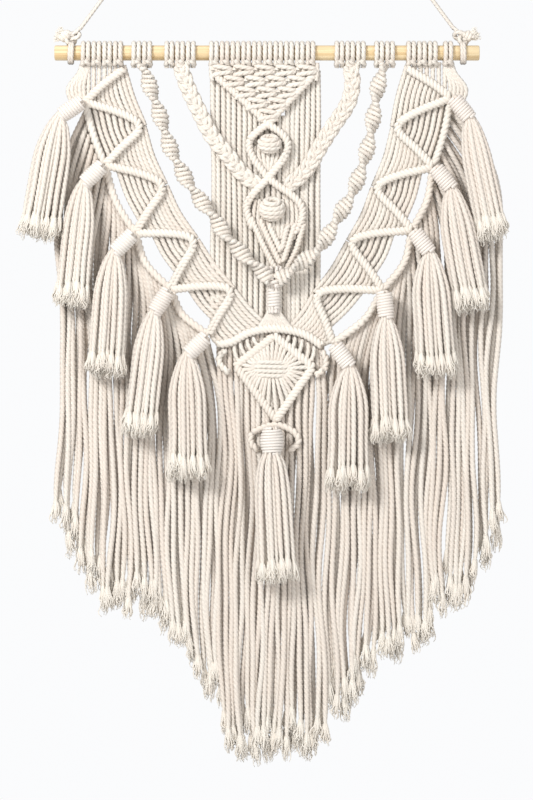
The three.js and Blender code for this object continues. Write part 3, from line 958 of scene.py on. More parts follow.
print(f"a berry is tilted by {math.degrees(TILT):.0f} degrees")

# %% [markdown]
# ## Two eyes
#
# Below the V the two bars part, cross, and part again, which leaves two hollows like eyes, with a berry in
# each. Straight cords close the back of a hollow.

# %% Two eyes
UPPER_EYE = {
    "left": [(7, 53), (0.5, 59), (-9, 66), (-16.5, 74), (-17.5, 84), (-12.5, 95), (-5, 105), (1, 113)],
    "right": [
        (-4, 54), (3, 60.5), (12.5, 67), (19.5, 75), (20.5, 83), (16, 94), (8, 104), (0, 114), (-8, 122)
    ],
}
LOWER_EYE = {
    "left": [(-6, 120), (-15, 130), (-20.5, 141), (-18.5, 152), (-14, 163)],
    "right": [(1, 112.5), (11, 120.5), (22, 128), (32, 137), (35.5, 146), (34, 157), (30, 167)],
}


def build_berry(name, rows):
    pile = Pile()
    berry(pile, name, rows)
    piece(name + "_knot", pile, COTTON, "panel", [name])


def build_eyes():
    upper = Pile()
    bar(upper, UPPER_EYE["left"])
    for k in range(7):
        x = 1 + 4.5 * (k - 3)
        rope(upper, [at(x, 78 + abs(k - 3), -4), at(x, 92, -6), at(x * 0.35 + 1, 110, -5)], 5.0)
    bar(upper, UPPER_EYE["right"], y=KNOTS_Y - 0.4)
    piece("upper_eye_coils", upper, COTTON, "panel", ["upper_eye"])
    build_berry("upper_berry", 4)

    lower = Pile()
    for route in LOWER_EYE.values():
        bar(lower, route)
    for x in range(-14, 32, 5):
        rope(lower, [at(x * 0.9 + 1, 134, -4), at(x * 0.97, 156, -5.5), at(x * 0.75 + 3, 174, -5.5)], 5.2)
    piece("lower_eye_coils", lower, COTTON, "panel", ["lower_eye"])
    build_berry("lower_berry", 5)


build_eyes()
tell("upper", "lower_eye", "lower_berry")

# %% [markdown]
# ## Chevrons
#
# Under the second eye the cords are hitched again and again towards the middle, so bars lie nested in a V.

# %% Chevrons
CHEVRONS = [
    [(-16, 153), (-3, 182), (10, 207)],
    [(-7, 155), (3, 177), (12.5, 197)],
    [(1.5, 159), (8, 173), (14, 186)],
    [(36.5, 159), (29, 185), (18.5, 206)],
    [(28, 158), (22, 178), (16.5, 195)],
    [(20.5, 160), (17.5, 172), (15, 184)],
]


def build_chevrons():
    pile = Pile()
    for route in CHEVRONS:
        bar(pile, route, 6.8, KNOTS_Y, 4.2, 3.9, 7.6)
    for x in range(-8, 28, 5):
        rope(pile, [at(x, 158, -4.6), at(x * 0.6 + 5, 180, -4.6), at(12 + x * 0.1, 204, -4.6)], 4.6)
    piece("chevron_coils", pile, COTTON, "panel", ["chevron_bars"])


build_chevrons()
tell("chevron")

# %% [markdown]
# ## The gathering
#
# All cords of the middle meet in one wrapped neck, then fan out again. A few cords go through the neck,
# because its ends are open to the eye, and the fan starts as thin cords that swell once nothing squeezes
# them.

# %% Gathering wrap and flare
def build_gathering():
    low, high = box_of("gathering_wrap")
    x, y = (low[0] + high[0]) / 2, (low[1] + high[1]) / 2
    pile = Pile()
    coil(pile, (x, y, high[2] - 1.4), (x, y, low[2] + 1.4), (high[0] - low[0]) / 2, 3.0)
    for k in range(7):
        a = 2 * math.pi * k / 7
        wide = np.array([x + 4 * math.sin(a), y + 4 * math.cos(a), 0.0])
        up = np.array([x + 7 * math.sin(a), y + 2 * math.cos(a), high[2] + 22])
        rope(pile, [up, wide + (0, 0, high[2] + 8), wide + (0, 0, low[2] - 4)], 4.4)
    coil(pile, (x - 0.5, y, high[2] + 10), (x + 0.5, y, high[2] + 2), 8.6, 4.0)
    piece("gathering_windings", pile, WRAP, "panel", ["gathering_wrap"])
    flare = Pile()
    for k in range(11):
        share = (k - 5) / 5
        route = [(x + share * 4.5, y + 1, low[2] + 4), (x + share * 6, y + 1, low[2] - 4)]
        rope(flare, route + [at(8 + share * 17, 262 + abs(share) * 2, -6.5)], (4.4, 5.6))
    piece("flared_ropes", flare, COTTON, "panel", ["flared_cords"])


build_gathering()
tell("gathering", "flared")

# %% [markdown]
# ## How a cord hangs
#
# A cord that hangs free is never quite straight, and its neighbours sway much alike, because they touch. So
# the sway is a sum of waves that depend on where the cord is, and only the last one is the cord's own.

# %% How a cord hangs
LONG_WAVE = 47.0  # millimetres of height for each radian of the slowest wave


def wavy(x, y, top, bottom, sway, steps=9, where=0.0):
    """A cord that hangs from top to bottom and isn't quite straight. Neighbours sway much alike."""
    z = np.linspace(top, bottom, steps)
    own = rng.random(3) * 6.3
    place = x + where
    shared = np.sin(z / LONG_WAVE + place / 19) + 0.5 * np.sin(z / 21 + place / 11 + 0.3 * own[0])
    shift = sway * shared + 0.7 * sway * np.sin(z / (24 + 4 * own[0]) + own[1])
    shift = (shift - shift[0]) * np.minimum(1, (top - z) / 40)
    deep = 0.5 * sway * np.sin(z / 38 + own[2])
    return np.stack([x + shift, y + deep - deep[0], z], 1)


print(f"the slowest wave is {2 * math.pi * LONG_WAVE:.0f} mm long")
# %% [markdown]
# ## The arch and the straight cords
#
# Under the neck the cords end in an arched bar. The cords that the V let go hang straight down behind the
# swags to the same arch. A second row, half a cord aside, hangs at the back of them, so that no light comes
# through between two cords.

# %% Arch and straight cords
ARCH = [(-50, 279), (-35, 276), (-18, 267), (4, 263), (25, 265), (40, 270), (55, 280)]


def build_middle():
    pile = Pile()
    bar(pile, ARCH, 9.2)
    piece("arch_coils", pile, COTTON, "panel", ["arch_bar"])
    for node in ("drop_cords_left", "drop_cords_right"):
        low, high = box_of(node)
        pile = Pile()
        count = int(round((high[0] - low[0]) / 5.3))
        pitch = (high[0] - low[0]) / count
        for k in range(count):
            x = low[0] + pitch * (k + 0.5)
            top, bottom = outline_at(node, x)
            rope(pile, wavy(x, CORDS_Y, top + 3, bottom - 1, 0.6), HUNG)
        for x in low[0] + pitch * np.arange(1.0, count):
            rope(pile, wavy(x, BACK_Y, PANEL_TOP - 4, PANEL_TOP - 266, 0.5), HUNG)
        if "left" in node:
            for y, places in ((CORDS_Y, (-6, 0, 6, 12, 17)), (BACK_Y, (-9, -3, 3, 9, 15))):
                for x in places:
                    rope(pile, wavy(x, y, PANEL_TOP - 50, PANEL_TOP - 262, 0.4), HUNG)
        piece(node.replace("cords", "ropes"), pile, COTTON, "panel", [node])


build_middle()
tell("arch", "drop")

# %% [markdown]
# ## The medallion
#
# A diamond of bars holds one big flat knot. Each half of the frame is one bar from the top corner to the
# bottom one. The knot's cords run out like rays until they meet the frame, so the first thing needed is
# where a ray meets it.

# %% Medallion
DIAMOND = [(7, 270), (-31, 300), (9, 354), (45.5, 301)]
HUB, HUB_HALF = (4, 303), (19, 8)
RAYS = 34


def between(a, b, share):
    """The point that lies this share of the way from a to b."""
    return tuple(p + (q - p) * share for p, q in zip(a, b))


def rim_of_diamond(angle):
    """The point of the diamond's bars that lies that way from the hub."""
    way = (math.cos(angle), -math.sin(angle))
    best = 1e9
    for a, b in zip(DIAMOND, DIAMOND[1:] + DIAMOND[:1]):
        edge, off = (b[0] - a[0], b[1] - a[1]), (a[0] - HUB[0], a[1] - HUB[1])
        cross = way[0] * edge[1] - way[1] * edge[0]
        if abs(cross) > 1e-6:
            reach = (off[0] * edge[1] - off[1] * edge[0]) / cross
            share = (off[0] * way[1] - off[1] * way[0]) / cross
            if 0 < reach < best and -0.001 <= share <= 1.001:
                best = reach
    return (HUB[0] + way[0] * best, HUB[1] + way[1] * best)


def build_medallion_frame():
    top, left, bottom, right = DIAMOND
    pile = Pile()
    for side in (left, right):
        near = [between(top, side, s) for s in (0, 0.35, 0.7, 0.93)]
        bar(pile, near + [between(side, bottom, s) for s in (0.05, 0.3, 0.65, 1)], 9.3)
    piece("medallion_coils", pile, COTTON, "panel", ["medallion_frame"])


build_medallion_frame()
tell("medallion_coils")

# %% [markdown]
# ## The big flat knot
#
# Cords run in from all four sides, disappear under a short band of working cords in the middle, and fill the
# diamond like rays. Straight cords behind them close the gaps.

# %% The big flat knot
HUB_ROPES = 4


def build_medallion_knot():
    knot = Pile()
    for k in range(RAYS):
        angle = 2 * math.pi * (k + 0.3 * rng.random()) / RAYS
        rim = rim_of_diamond(angle)
        root = (HUB[0] + HUB_HALF[0] * 0.8 * math.cos(angle), HUB[1] - HUB_HALF[1] * 0.8 * math.sin(angle))
        stations = ((0, -8.5), (0.3, -9.8), (0.7, -8.2), (1, -6))
        route = [at(*between(root, rim, share), y) for share, y in stations]
        rope(knot, route, (3.8, 4.4, 4.8, 4.8), flank_shade=0.7)
    for k in range(HUB_ROPES):
        rise = (k - 1.5) * 4.4
        wide = HUB_HALF[0] * math.sqrt(1 - (rise / 11) ** 2)
        x, z = HUB
        route = [at(x - wide, z + rise * 0.8, -6.5), at(x - wide * 0.6, z + rise, -10.2)]
        route += [at(x + wide * 0.6, z + rise + 0.5, -10.2), at(x + wide, z + rise * 0.8, -6.5)]
        rope(knot, route, 5.0, (0, -0.3, 1), tone=0.1 * k, flank_shade=0.45)
    for x in np.arange(-24, 40, HUNG):
        reach = 36 - abs(x - 7)
        rope(knot, [at(x, 303 - reach * 0.7, -4.4), at(x, 303 + reach * 1.2, -4.4)], HUNG)
    piece("medallion_knot_ropes", knot, COTTON, "panel", ["medallion_knot"])


build_medallion_knot()
tell("medallion_knot")

# %% [markdown]
# ## Links and chains
#
# Short links tie the diamond to the arch. A chain of hitches closes each side, and one more makes a ring
# under it, which the middle tassel hangs in.

# %% Links and chains
LINKS = {
    "left": [(-33, 279, -29, 295), (-27, 276, -22, 289), (-20, 273, -16, 285), (-14, 271, -9, 280)],
    "right": [
        (22, 270, 17, 279), (28, 272, 24, 284), (35, 274, 31, 289), (41, 277, 39, 294), (47, 281, 44, 295)
    ],
}
CHAINS = {
    "side_chain_left": [(-42, 284), (-47.5, 291), (-46.5, 299), (-38, 307)],
    "side_chain_right": [(55, 286), (59, 294), (57, 303), (48, 310)],
    "lower_ring": [
        (-9, 384), (-15.5, 377), (-15, 368), (-7, 363), (8, 359), (22, 363), (30, 370), (30.5, 378), (23, 384)
    ],
}


def build_links_and_chains():
    for side, bulge in (("left", -1), ("right", 1)):
        pile = Pile()
        for x0, z0, x1, z1 in LINKS[side]:
            middle = at((x0 + x1) / 2 + bulge, (z0 + z1) / 2)
            rope(pile, [at(x0, z0, -5), middle, at(x1, z1)], 4.6)
        piece(f"link_ropes_{side}", pile, COTTON, "panel", [f"link_cords_{side}"])
    for node, route in CHAINS.items():
        pile = Pile()
        bar(pile, route, 7.4, KNOTS_Y, 4.8, 5.2, 7.6)
        piece(node + "_coils", pile, COTTON, "panel", [node])


build_links_and_chains()
tell("link", "side_chain", "lower_ring")

# %% [markdown]
# ## Braids
#
# Two flat plaits swing from the dowel to the crossing between the eyes. A plait of three is a known curve:
# each strand sways from side to side once while it goes up and down twice, a third of a turn behind the next
# one. Every strand of these is a pair of ropes.

# %% Braids
BRAIDS = {
    "braid_left": [
        (-86.8, 0), (-83.5, 10), (-78, 25), (-67, 48), (-55, 71), (-40, 89), (-26, 107), (-8, 121)
    ],
    "braid_right": [
        (83, 0), (84.5, 10), (85, 22), (80, 40), (66, 61), (54, 80), (43, 99), (32, 112), (18, 122)
    ],
}
PLAIT_PITCH = 34.0
PLAIT_SWAY, PLAIT_DIP = 4.8, 2.3  # how far a strand goes to the side, and to the front
PAIR_GAP = 2.1  # from the middle of a strand to each of its two ropes


def build_braids():
    for name, route in BRAIDS.items():
        core = evenly([at(x, z, -8.8 if k < 6 else -6.6) for k, (x, z) in enumerate(route)], 1.5)
        along, across = frame_along(core)
        far = np.arange(len(core)) * 1.5
        pile = Pile()
        for strand in range(3):
            phase = 2 * math.pi * (far / PLAIT_PITCH + strand / 3)
            sway = PLAIT_SWAY * np.sin(phase)
            dip = PLAIT_DIP * np.sin(2 * phase)
            lean = np.cos(phase)
            for way in (-1, 1):
                gap = way * PAIR_GAP
                line = core + across * (sway + gap * (0.55 + 0.25 * np.abs(lean)))[:, None]
                line = line - along * (gap * 0.9 * lean)[:, None]
                line[:, 1] += dip
                rope(pile, line[::2], 5.2, FRONT, 1.4, 14.0, flank_shade=0.6)
        rope(pile, core[::4], 7.0, section=SOFT)
        piece(name.replace("braid", "plait"), pile, COTTON, "panel", [name])


build_braids()
tell("plait")

# %% [markdown]
# ## Spiral sinnets
#
# The same half knot tied over and over turns by itself round its core. Each working cord winds flat round
# the core cords, and the flat winding turns with it, so the sinnet is wide, then narrow, then wide again.

# %% Spirals
SPIRALS = {
    "spiral_left": [
        (-125.5, 0), (-121, 8), (-116, 24), (-106, 53), (-96, 84), (-77, 120),
        (-55, 150), (-32, 181), (4, 215),
    ],
    "spiral_right": [
        (117, 0), (113, 12), (109, 30), (104, 64), (97, 94), (85, 127),
        (66.5, 159), (50, 185), (11, 215),
    ],
}
SPIRAL_DEPTH = [-11.3] * 6 + [-15.3, -18.6, -18.6]  # the lower ends lie in front of everything
SPIRAL_WIDE, SPIRAL_THIN = 6.5, 1.3  # half sizes of the flat winding
HALF_TURN = 32.0
KNOT_PITCH = 10.4


def build_spirals():
    for name, route in SPIRALS.items():
        step = KNOT_PITCH / HITCH_STEPS
        core = evenly([at(x, z, y) for (x, z), y in zip(route, SPIRAL_DEPTH)], step)
        along, across = frame_along(core)
        front = np.cross(across, along)
        far = np.arange(len(core)) * step
        spin = math.pi * far / HALF_TURN + 0.9
        wide = np.cos(spin)[:, None] * across + np.sin(spin)[:, None] * front
        thin = -np.sin(spin)[:, None] * across + np.cos(spin)[:, None] * front
        pile = Pile()
        for start in (0, math.pi):
            turn = 2 * math.pi * far / KNOT_PITCH + start
            line = core + SPIRAL_WIDE * np.cos(turn)[:, None] * wide
            line = line + SPIRAL_THIN * np.sin(turn)[:, None] * thin
            pile.sweep(line, (5.0, 5.0), SOFT, LAY, along.mean(0), rng.random(), flank_shade=0.45)
        for way in (-1, 1):
            rope(pile, (core + wide * way * 2.0)[::6], 4.0, FRONT, 2.0)
        piece(name.replace("spiral", "sinnet"), pile, COTTON, "panel", [name])


build_spirals()
tell("sinnet")

# %% [markdown]
# ## Wings
#
# Down each side runs a zigzag of bars, which the pattern gives by its outer and inner corners. Each triangle
# is closed on its outer edge by a curved bar that the fringe hangs from. The two sides were knotted by hand
# and aren't mirror images.

# %% The wings' corners
WINGS = {
    "left": {
        "outer": [(-182, 37), (-162, 100), (-132, 168), (-97, 224), (-59, 270)],
        "inner": [(-122, 60), (-100, 119), (-69, 173), (-32, 223)],
        "start": (-143, 0),
        "arch": [(-49, 278), (5, 262)],
    },
    "right": {
        "outer": [(184, 33), (166, 102), (145, 165), (116, 225), (66, 278)],
        "inner": [(125, 61), (105, 121), (80, 175), (46, 227)],
        "start": (140, 0),
        "arch": [(54, 279), (20, 263)],
    },
}
BOWS = (1, 4, 6.5, 6.5)  # how far each outer bar bows out
OPENINGS = (-0.06, 0.12, 0.21, 0.21)  # the share of each triangle that stays open beside it
for side, wing in WINGS.items():
    print(f"{side} wing: {len(wing['outer'])} outer corners, {len(wing['inner'])} inner ones")

# %% [markdown]
# ## Fans of cords
#
# Cords go from bar to bar in fans, always towards the middle. Each fan has two rows, the second half a cord
# aside and behind, so that nothing shows through. Every cord bows a little, by chance.

# %% Fans
FAN_BOW = 3.0


def fan(pile, a0, a1, b0, b1, count, first=0.12, last=0.92, front=CORDS_Y):
    """Two rows of cords, the second half a cord aside, from the line a0-a1 to the line b0-b1."""
    step = (last - first) / (count - 1)
    for y, start, number in ((front, first, count), (BACK_Y, first + step / 2, count - 1)):
        for k in range(number):
            s = start + step * k
            a, b = between(a0, a1, s), between(b0, b1, s)
            bow = FAN_BOW * (0.5 + 0.3 * rng.random())
            middle_x = (a[0] + b[0]) / 2 - bow * math.copysign(1, b0[0] - a0[0])
            middle = (middle_x, (a[1] + b[1]) / 2 + 0.4 * bow)
            rope(pile, [at(*a, y - 2.5), at(*middle, y - 0.8), at(*b, y - 2.5)], 5.4)


def inset(corner, towards, d):
    """The point at distance d from a corner."""
    gone = np.subtract(towards, corner)
    return tuple(np.asarray(corner) + gone / np.linalg.norm(gone) * d)


print(f"cords of a fan bow by {0.5 * FAN_BOW:.1f} to {0.8 * FAN_BOW:.1f} mm")

# %% [markdown]
# ## A wing's bars
#
# A bar doesn't turn sharply at an inner corner: the core cord bends round, and the bar comes out a little
# below the corner. So each triangle is one bar with a rounded knee, its outer bar, and the fan between.

# %% A wing's bars
KNEE = 9.0


def zigzag(pile, start, end, knee, way):
    """A bar from one outer corner to the next, round the knee between them."""
    above, below = inset(knee, start, KNEE), inset(knee, end, KNEE)
    turn = between(between(above, below, 0.5), knee, 0.6)
    half = between(start, knee, 0.5)
    rounded = [(above[0], above[1] - 3), (turn[0], turn[1] - 0.5), (below[0] + way, below[1] + 1)]
    bar(pile, [start, (half[0], half[1] - 3.5), *rounded, between(knee, end, 0.55), end], 9.2)


def build_wing_bars(side):
    wing = WINGS[side]
    outer, inner = wing["outer"], wing["inner"]
    way = 1 if side == "left" else -1
    for i, corner in enumerate(inner):
        pile = Pile()
        tip, low = outer[i], outer[i + 1]
        middle = between(tip, low, 0.5)
        start, end = inset(tip, corner, 1), inset(low, corner, 1)
        zigzag(pile, start, end, inset(corner, middle, 3), way)
        bowed = (middle[0] - way * BOWS[i], middle[1] + 2)
        bar(pile, [inset(tip, low, 3), bowed, inset(low, tip, 2)], 8.4, KNOTS_Y + 0.5, 5.4, 5.8, 7.8, 2.4)
        if i == 0:
            s = wing["start"]
            bar(pile, [(s[0], s[1] + 4), between(s, tip, 0.55), inset(tip, s, 1)], 9.2)
        first = OPENINGS[i]
        count = round(9 - 8 * first)
        fan(pile, start, corner, end, corner, count, first + 0.08, 0.92)
        piece(f"wing_bars_{side}_{i + 1}", pile, COTTON, "panel", [f"hitch_bars_{side}_{i + 1}"])


print(f"a bar starts to bend {KNEE} mm before its corner")

# %% [markdown]
# ## A wing's cords
#
# Between two triangles lies a fan that runs from the lower bar of one to the upper bar of the next. The
# first fan starts at the dowel and the last one ends on the arch. At the top, the strands of the outermost
# heads come down to the first bar, and a few loose ones bulge over its end.

# %% A wing's cords
def build_wing_cords(side):
    wing = WINGS[side]
    outer, inner = wing["outer"], wing["inner"]
    cords = Pile()
    foot, far = wing["arch"]
    a, b = wing["start"], inner[0]
    fan(cords, inset(outer[0], a, 8), a, inset(outer[0], b, 7), b, 10, 0.0, 1.0)
    for i in range(3):
        a, b = inner[i], inner[i + 1]
        fan(cords, inset(outer[i + 1], a, 8), a, inset(outer[i + 1], b, 7), b, 11, 0.0, 0.98)
    fan(cords, inset(outer[4], inner[3], 6), inner[3], foot, far, 11, 0.0, 0.97, CORDS_Y - 1.6)
    build_wing_top(cords, side)
    piece(f"wing_ropes_{side}", cords, COTTON, "panel", [f"wing_cords_{side}"])


def build_wing_top(pile, side):
    """The strands that run from the dowel to the first bar, and over it."""
    start, tip = WINGS[side]["start"], WINGS[side]["outer"][0]
    strands = np.linspace(-183.6, -146, 8) if side == "left" else np.linspace(141.4, 183.6, 8)
    for x in strands:
        share = min(1.0, max(0.0, (x - start[0]) / (tip[0] - start[0])))
        end = between((start[0], start[1] + 4), tip, share)
        if end[1] > 6:
            rope(pile, [at(x, -3, TAIL_Y), at(x, end[1] * 0.5, -4), at(*end, -5)], CORD)
    way = 1 if side == "right" else -1
    for k in range(5):
        x = way * (176.5 + 1.9 * k)
        belly = at(x + way * (6.5 + 2.0 * k), 21 + k, -5.5 - 0.5 * (k % 2))
        end = at(way * (181.5 + 2.2 * k), 40 + k, -7)
        rope(pile, [at(x, -3, TAIL_Y), at(x + way * 3.5, 8, -4.8), belly, end], 5.2)


for side in WINGS:
    build_wing_bars(side)
    build_wing_cords(side)
tell("wing")

# %% [markdown]
# ## The fringe
#
# Under the knotwork every cord hangs free. There are nearly eighty in front, and the shorter cords of the
# back show between them. Each is rope of its own length with a frayed end. The forty longest are made one by
# one as pieces of their own, and the rest are piled into a few meshes.

# %% Where the fringe hangs
DECLARED = 40
SIDE_CORDS, FRONT_CORDS, BACK_CORDS = 28, 20, 19  # in a row at each side, and in the middle's two rows
FRONT_ROW, BACK_ROW = CORDS_Y - 0.6, BACK_Y + 0.4


def side_routes(side, way):
    """For each cord of a side its solid, its top, its end and its row."""
    routes, node = [], f"fringe_{side}"
    low, high = box_of(node)
    edge, inside = (low[0] + 2.5, high[0] + 3.5) if way > 0 else (high[0] - 2.5, low[0] - 3.5)
    outer = np.array(WINGS[side]["outer"], float)
    far = far_along(outer)
    for layer, (y, uneven) in enumerate(((FRONT_ROW, 32), (BACK_ROW, 44))):
        for k in range(SIDE_CORDS):
            u = min(1.0, (k + 0.5 + 0.5 * layer + 0.2 * (rng.random() - 0.5)) / SIDE_CORDS)
            x_end = edge + (inside - edge) * u
            s = far[-1] * u**0.92
            x_top, z_top = (np.interp(s, far, outer[:, i]) for i in (0, 1))
            bow = -4 * abs(math.sin(math.pi * (s % 68) / 68))
            end = outline_at(node, x_end)[1] + rng.random() * uneven - 4
            routes.append((node, x_top + way * bow, PANEL_TOP - z_top - 4, x_end, end, y))
    return routes


def centre_routes():
    routes = []
    low, high = box_of("fringe_centre")
    for count, y in ((FRONT_CORDS, FRONT_ROW), (BACK_CORDS, BACK_ROW)):
        for k in range(count):
            x = low[0] + 1.0 + (high[0] - low[0] - 2) * (k + 0.5 * (21 - count)) / 20
            top, end = outline_at("fringe_centre", x)
            routes.append(("fringe_centre", x, top + 2, x, end + rng.random() * 34, y))
    return routes


routes = side_routes("left", 1) + side_routes("right", -1) + centre_routes()
order = sorted(range(len(routes)), key=lambda i: routes[i][4] - routes[i][2])
front = [i for i in order if routes[i][5] < CORDS_Y][:DECLARED]
lengths = [routes[i][2] - routes[i][4] for i in front]
print(f"{len(routes)} fringe cords, the declared ones from {min(lengths):.0f} to {max(lengths):.0f} mm")

# %% [markdown]
# ## One cord of the fringe
#
# A cord leaves the bar at its own place and falls to its own place at the hem, and it is straight again
# within a finger's length. Its rope is thicker here than in a knot, because nothing pulls on it, and thins
# where it comes undone.

# %% One fringe cord
FRINGE_D = 6.2
FRINGE_WIDTHS = np.concatenate([np.full(24, FRINGE_D), [FRINGE_D * 0.92, FRINGE_D * 0.5]])
FRINGE_FRAY = np.concatenate([np.zeros(24), [0.5, 1]])
BRUSH = 22.0  # the frayed end
STRAIGHT_WITHIN = 80.0


def fringe_line(x_top, top, x_end, end, y):
    line = wavy(0.0, y + 0.6 * (rng.random() - 0.5), top, end, 2.0, 16, x_end)
    share = np.clip((top - line[:, 2]) / min(STRAIGHT_WITHIN, 0.5 * (top - end)), 0, 1)
    line[:, 0] += x_top + (x_end - x_top) * np.sin(share * math.pi / 2)
    return line


def fringe_cord(pile, brush, route):
    """The rope goes into pile and its frayed end into brush. Returns the points of the rope."""
    cut = evenly(fringe_line(*route), 3.0)
    body = cut[:-7]
    rope(pile, body, FRINGE_WIDTHS, fray=FRINGE_FRAY, step=1.8, flank_shade=0.55 + 0.45 * rng.random())
    tuft(brush, body[-1], body[-1] - body[-3], BRUSH * (0.8 + 0.5 * rng.random()), 5.4)
    return body


print(f"a fringe cord is {FRINGE_D} mm thick and its brush about {BRUSH:.0f} mm long")

# %% [markdown]
# ## Separate and piled cords
#
# The forty longest cords of the front are pieces of their own, and each frayed end is one more. The rest
# are piled by solid, row and place, which keeps each mesh small enough to load.

# %% The whole fringe
def declare(number, pile, brush, node):
    made = piece(f"fringe_rope_{number:02d}", pile, FRINGE, "panel", [node])
    end_piece = piece(f"fringe_end_{number:02d}", brush, FRINGE, "panel")


rest = {}
for i, (node, *route) in enumerate(routes):
    if i in front:
        pile, brush = Pile(), Pile()
        body = fringe_cord(pile, brush, route)
        declare(front.index(i) + 1, pile, brush, node)
    else:
        behind, outside = route[-1] > CORDS_Y, abs(route[2]) > 125
        pile = rest.setdefault((node, behind, outside), Pile())
        fringe_cord(pile, pile, route)
for (node, behind, outside), pile in rest.items():
    name = node + ("_back" if behind else "_front") + ("_outer" if outside else "")
    piece(name, pile, FRINGE, "panel", [node])
tell("fringe_rope", "fringe_end")
tell("fringe_left", "fringe_centre", "fringe_right")

# %% [markdown]
# ## Tassels
#
# A bundle of cords is tied at each corner of the wings, wound with thin cord for a finger's width, and left
# to hang as a full skirt with a brushed hem. The bundle leans out from its corner and its skirt falls
# straight.

# %% Tassel sizes
# for each one: the lean of its wrapping and of its skirt, in degrees, and the width of the hem
TASSELS = {
    "left": [(57, 9.5, 45), (46, 5.5, 38), (45, 3.5, 43), (33, 6.5, 40), (46, -1, 46)],
    "right": [(39, 11.5, 35), (38, 10.5, 42), (36, 4, 46), (5, 2.5, 44), (35, -0.5, 50)],
}
WRAP_D, WRAP_L, SKIRT_L = 17.0, 28.0, 123.0
SKIRT_CORDS = 26
SKIRT_FRAY = 17.0
SKIRT_WIDTHS = (3.4, 3.4, 4.0, 5.0, 5.4, 5.8, 5.8, 5.8, 5.8, 5.4, 3.0)
SKIRT_FRAYS = (0, 0, 0, 0, 0, 0, 0, 0, 0.1, 0.4, 1)
WINDING = 2.8
TASSEL_Y = -11.8  # the back of a wrapping
print(f"{sum(len(t) for t in TASSELS.values()) + 1} tassels of {SKIRT_CORDS} cords")

# %% [markdown]
# ## One tassel
#
# The cords are spread over a round section by the golden angle, which fills a disc evenly with any number of
# them. The same place in the disc is used in the tight wrapping and in the wide skirt, so the cords hardly
# cross. The skirt is flatter than it is wide, because it lies against the panel.

# %% One tassel
GOLDEN_ANGLE = 2.39996


def lean_way(degrees):
    """Down, and leaning to the side by an angle."""
    a = math.radians(degrees)
    return np.array([-math.sin(a), 0.0, -math.cos(a)])


def build_tassel(name, corner, wrap, skirt, spread, wrap_d, skirt_l):
    corner = np.array([corner[0], TASSEL_Y - wrap_d / 2, PANEL_TOP - corner[1]])
    neck, fall = lean_way(wrap), lean_way(skirt)
    side_n, side_f = np.cross(neck, (0, 1, 0)), np.cross(fall, (0, 1, 0))
    hem = corner + neck * WRAP_L
    pile = Pile()
    deep = min(spread * 0.25, 11.0) - 2.2
    tight = wrap_d / 2 - WINDING - 1.4
    for k in range(SKIRT_CORDS):
        r = math.sqrt((k + 0.5) / SKIRT_CORDS)
        a = k * GOLDEN_ANGLE + 0.4
        cx, cy = r * math.cos(a), r * math.sin(a)
        down = skirt_l - SKIRT_FRAY + (rng.random() - 0.6) * 7
        wide = (spread / 2 - 2.4) * cx * (1 + 0.1 * (rng.random() - 0.5))
        stray = 1.5 * (rng.random() - 0.5)
        points = [
            corner + neck * 0.5 + side_n * cx * tight * 0.9 + (0, cy * tight * 0.9, 0),
            corner + neck * WRAP_L * 0.45 + side_n * cx * tight + (0, cy * tight, 0),
            hem - neck * 2 + side_n * cx * tight + (0, cy * tight, 0),
            hem + fall * 12 + side_f * (cx * tight * 0.9 + wide * 0.36) + (0, cy * tight * 1.1, 0),
            hem + fall * down * 0.36 + side_f * wide * 0.9 + (0, cy * deep * 0.9, 0),
            hem + fall * down * 0.72 + side_f * (wide * 0.95 + stray) + (0, cy * deep, 0),
            hem + fall * down + side_f * wide + (0, cy * deep, 0),
        ]
        line = rope(pile, points, SKIRT_WIDTHS, (0, -1, 0.02), 1.8, 17.0, fray=SKIRT_FRAYS, flank_shade=0.85)
        tuft(pile, line[-1], fall, SKIRT_FRAY * (0.8 + 0.5 * rng.random()), 4.8, 13, 1.5)
    piece(name + "_skirt", pile, FRINGE, name, [name])
    wound = Pile()
    barrel = 0.32 if wrap_d > 20 else 0.1
    top, foot = corner + neck * WRAP_L * 0.08, corner + neck * (WRAP_L - 0.5)
    coil(wound, top, foot, wrap_d / 2, WINDING, 7.0, barrel)
    piece(name + "_windings", wound, WRAP, name)


for side, way in (("left", 1), ("right", -1)):
    for i, (wrap, skirt, spread) in enumerate(TASSELS[side]):
        corner = WINGS[side]["outer"][i]
        build_tassel(f"tassel_{side}_{i + 1}", corner, way * wrap, way * skirt, spread, WRAP_D, SKIRT_L)
build_tassel("tassel_centre", (5, 360), 0, -3, 44, 24.0, 127.0)
tell("tassel")

# %% [markdown]
# ## The studio
#
# Two large soft lights stand in front. The left one is stronger and smaller, so that each cord has a light
# side and a soft dark line beside it.

# %% Lights
def area_light(name, place, target, size, power, colour=(1, 1, 1)):
    data = bpy.data.lights.new(name, "AREA")
    data.shape, data.size, data.energy, data.color = "DISK", size, power, colour
    light = bpy.data.objects.new(name, data)
    light.location = place
    light.rotation_euler = (Vector(target) - Vector(place)).to_track_quat("-Z", "Y").to_euler()
    bpy.context.scene.collection.objects.link(light)


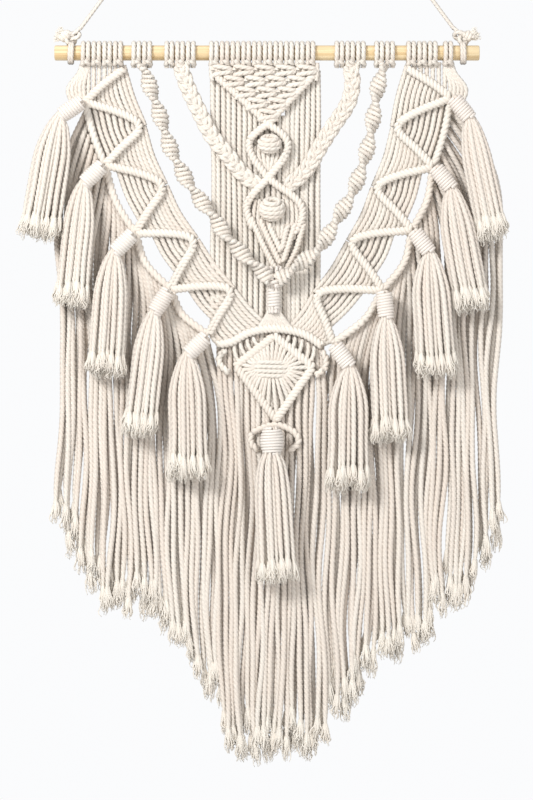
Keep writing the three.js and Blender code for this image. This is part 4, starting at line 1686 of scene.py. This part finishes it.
area_light("key", (-1.4, -2.0, 0.7), (0, 0, -0.6), 0.8, 56)
area_light("fill", (1.6, -2.4, -0.4), (0, 0, -0.65), 1.6, 14)
print("lights:", {light.name: light.energy for light in bpy.data.lights})

# %% [markdown]
# ## Backdrop
#
# The backdrop is a bright even world. Seen by the camera it is nearly white, but it lights the cords with
# less, because a white world would wash out the grooves between them.

# %% Backdrop
WORLD_LIGHT, WORLD_SEEN = 0.60, 0.98

world = bpy.data.worlds.new("studio")
bpy.context.scene.world = world
world.use_nodes = True
backdrop = world.node_tree.nodes["Background"]
seen = add_node(world.node_tree, "ShaderNodeLightPath")
bright = ranged(world.node_tree, seen.outputs["Is Camera Ray"], WORLD_LIGHT, WORLD_SEEN)
link(world.node_tree, bright, backdrop.inputs["Strength"])
backdrop.inputs["Color"].default_value = (0.985, 0.99, 1.0, 1)
print(f"the world gives {WORLD_LIGHT} of full light and shows as {WORLD_SEEN}")

# %% [markdown]
# ## The floor
#
# A pale floor lies far below, so it shows only in views from above or from the side. Its colour changes slowly
# and very little, as a painted floor's does.

# %% The floor
bpy.ops.mesh.primitive_plane_add(size=8, location=(0, 0, -1.7))
floor = bpy.context.object
floor.name = "floor"
floor_material = bpy.data.materials.new("pale_floor")
floor_material.use_nodes = True
floor_tree = floor_material.node_tree
cloud = add_node(floor_tree, "ShaderNodeTexNoise")
cloud.inputs["Scale"].default_value = 3.0
cloud.inputs["Detail"].default_value = 6.0
paint = mixed(floor_tree, cloud.outputs[0], (0.90, 0.90, 0.89, 1), (0.95, 0.95, 0.95, 1))
link(floor_tree, paint, floor_tree.nodes["Principled BSDF"].inputs["Base Color"])
floor.data.materials.append(floor_material)
floor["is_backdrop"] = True
print(f"the floor is {-floor.location.z:.1f} m below the hook")

# %% [markdown]
# ## Finishing
#
# The last cell compares the dressed model with the CAD box.

# %% Sizes and the end
low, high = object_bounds()
print(f"{sum(made_faces.values())} faces in {len(made_faces)} pieces, the largest {max(made_faces.values())}")
past = [round(float(v) / MM, 1) for v in (*(CAD_LOW - low), *(high - CAD_HIGH))]
print("outside the box by, in mm:", past[:3], past[3:])
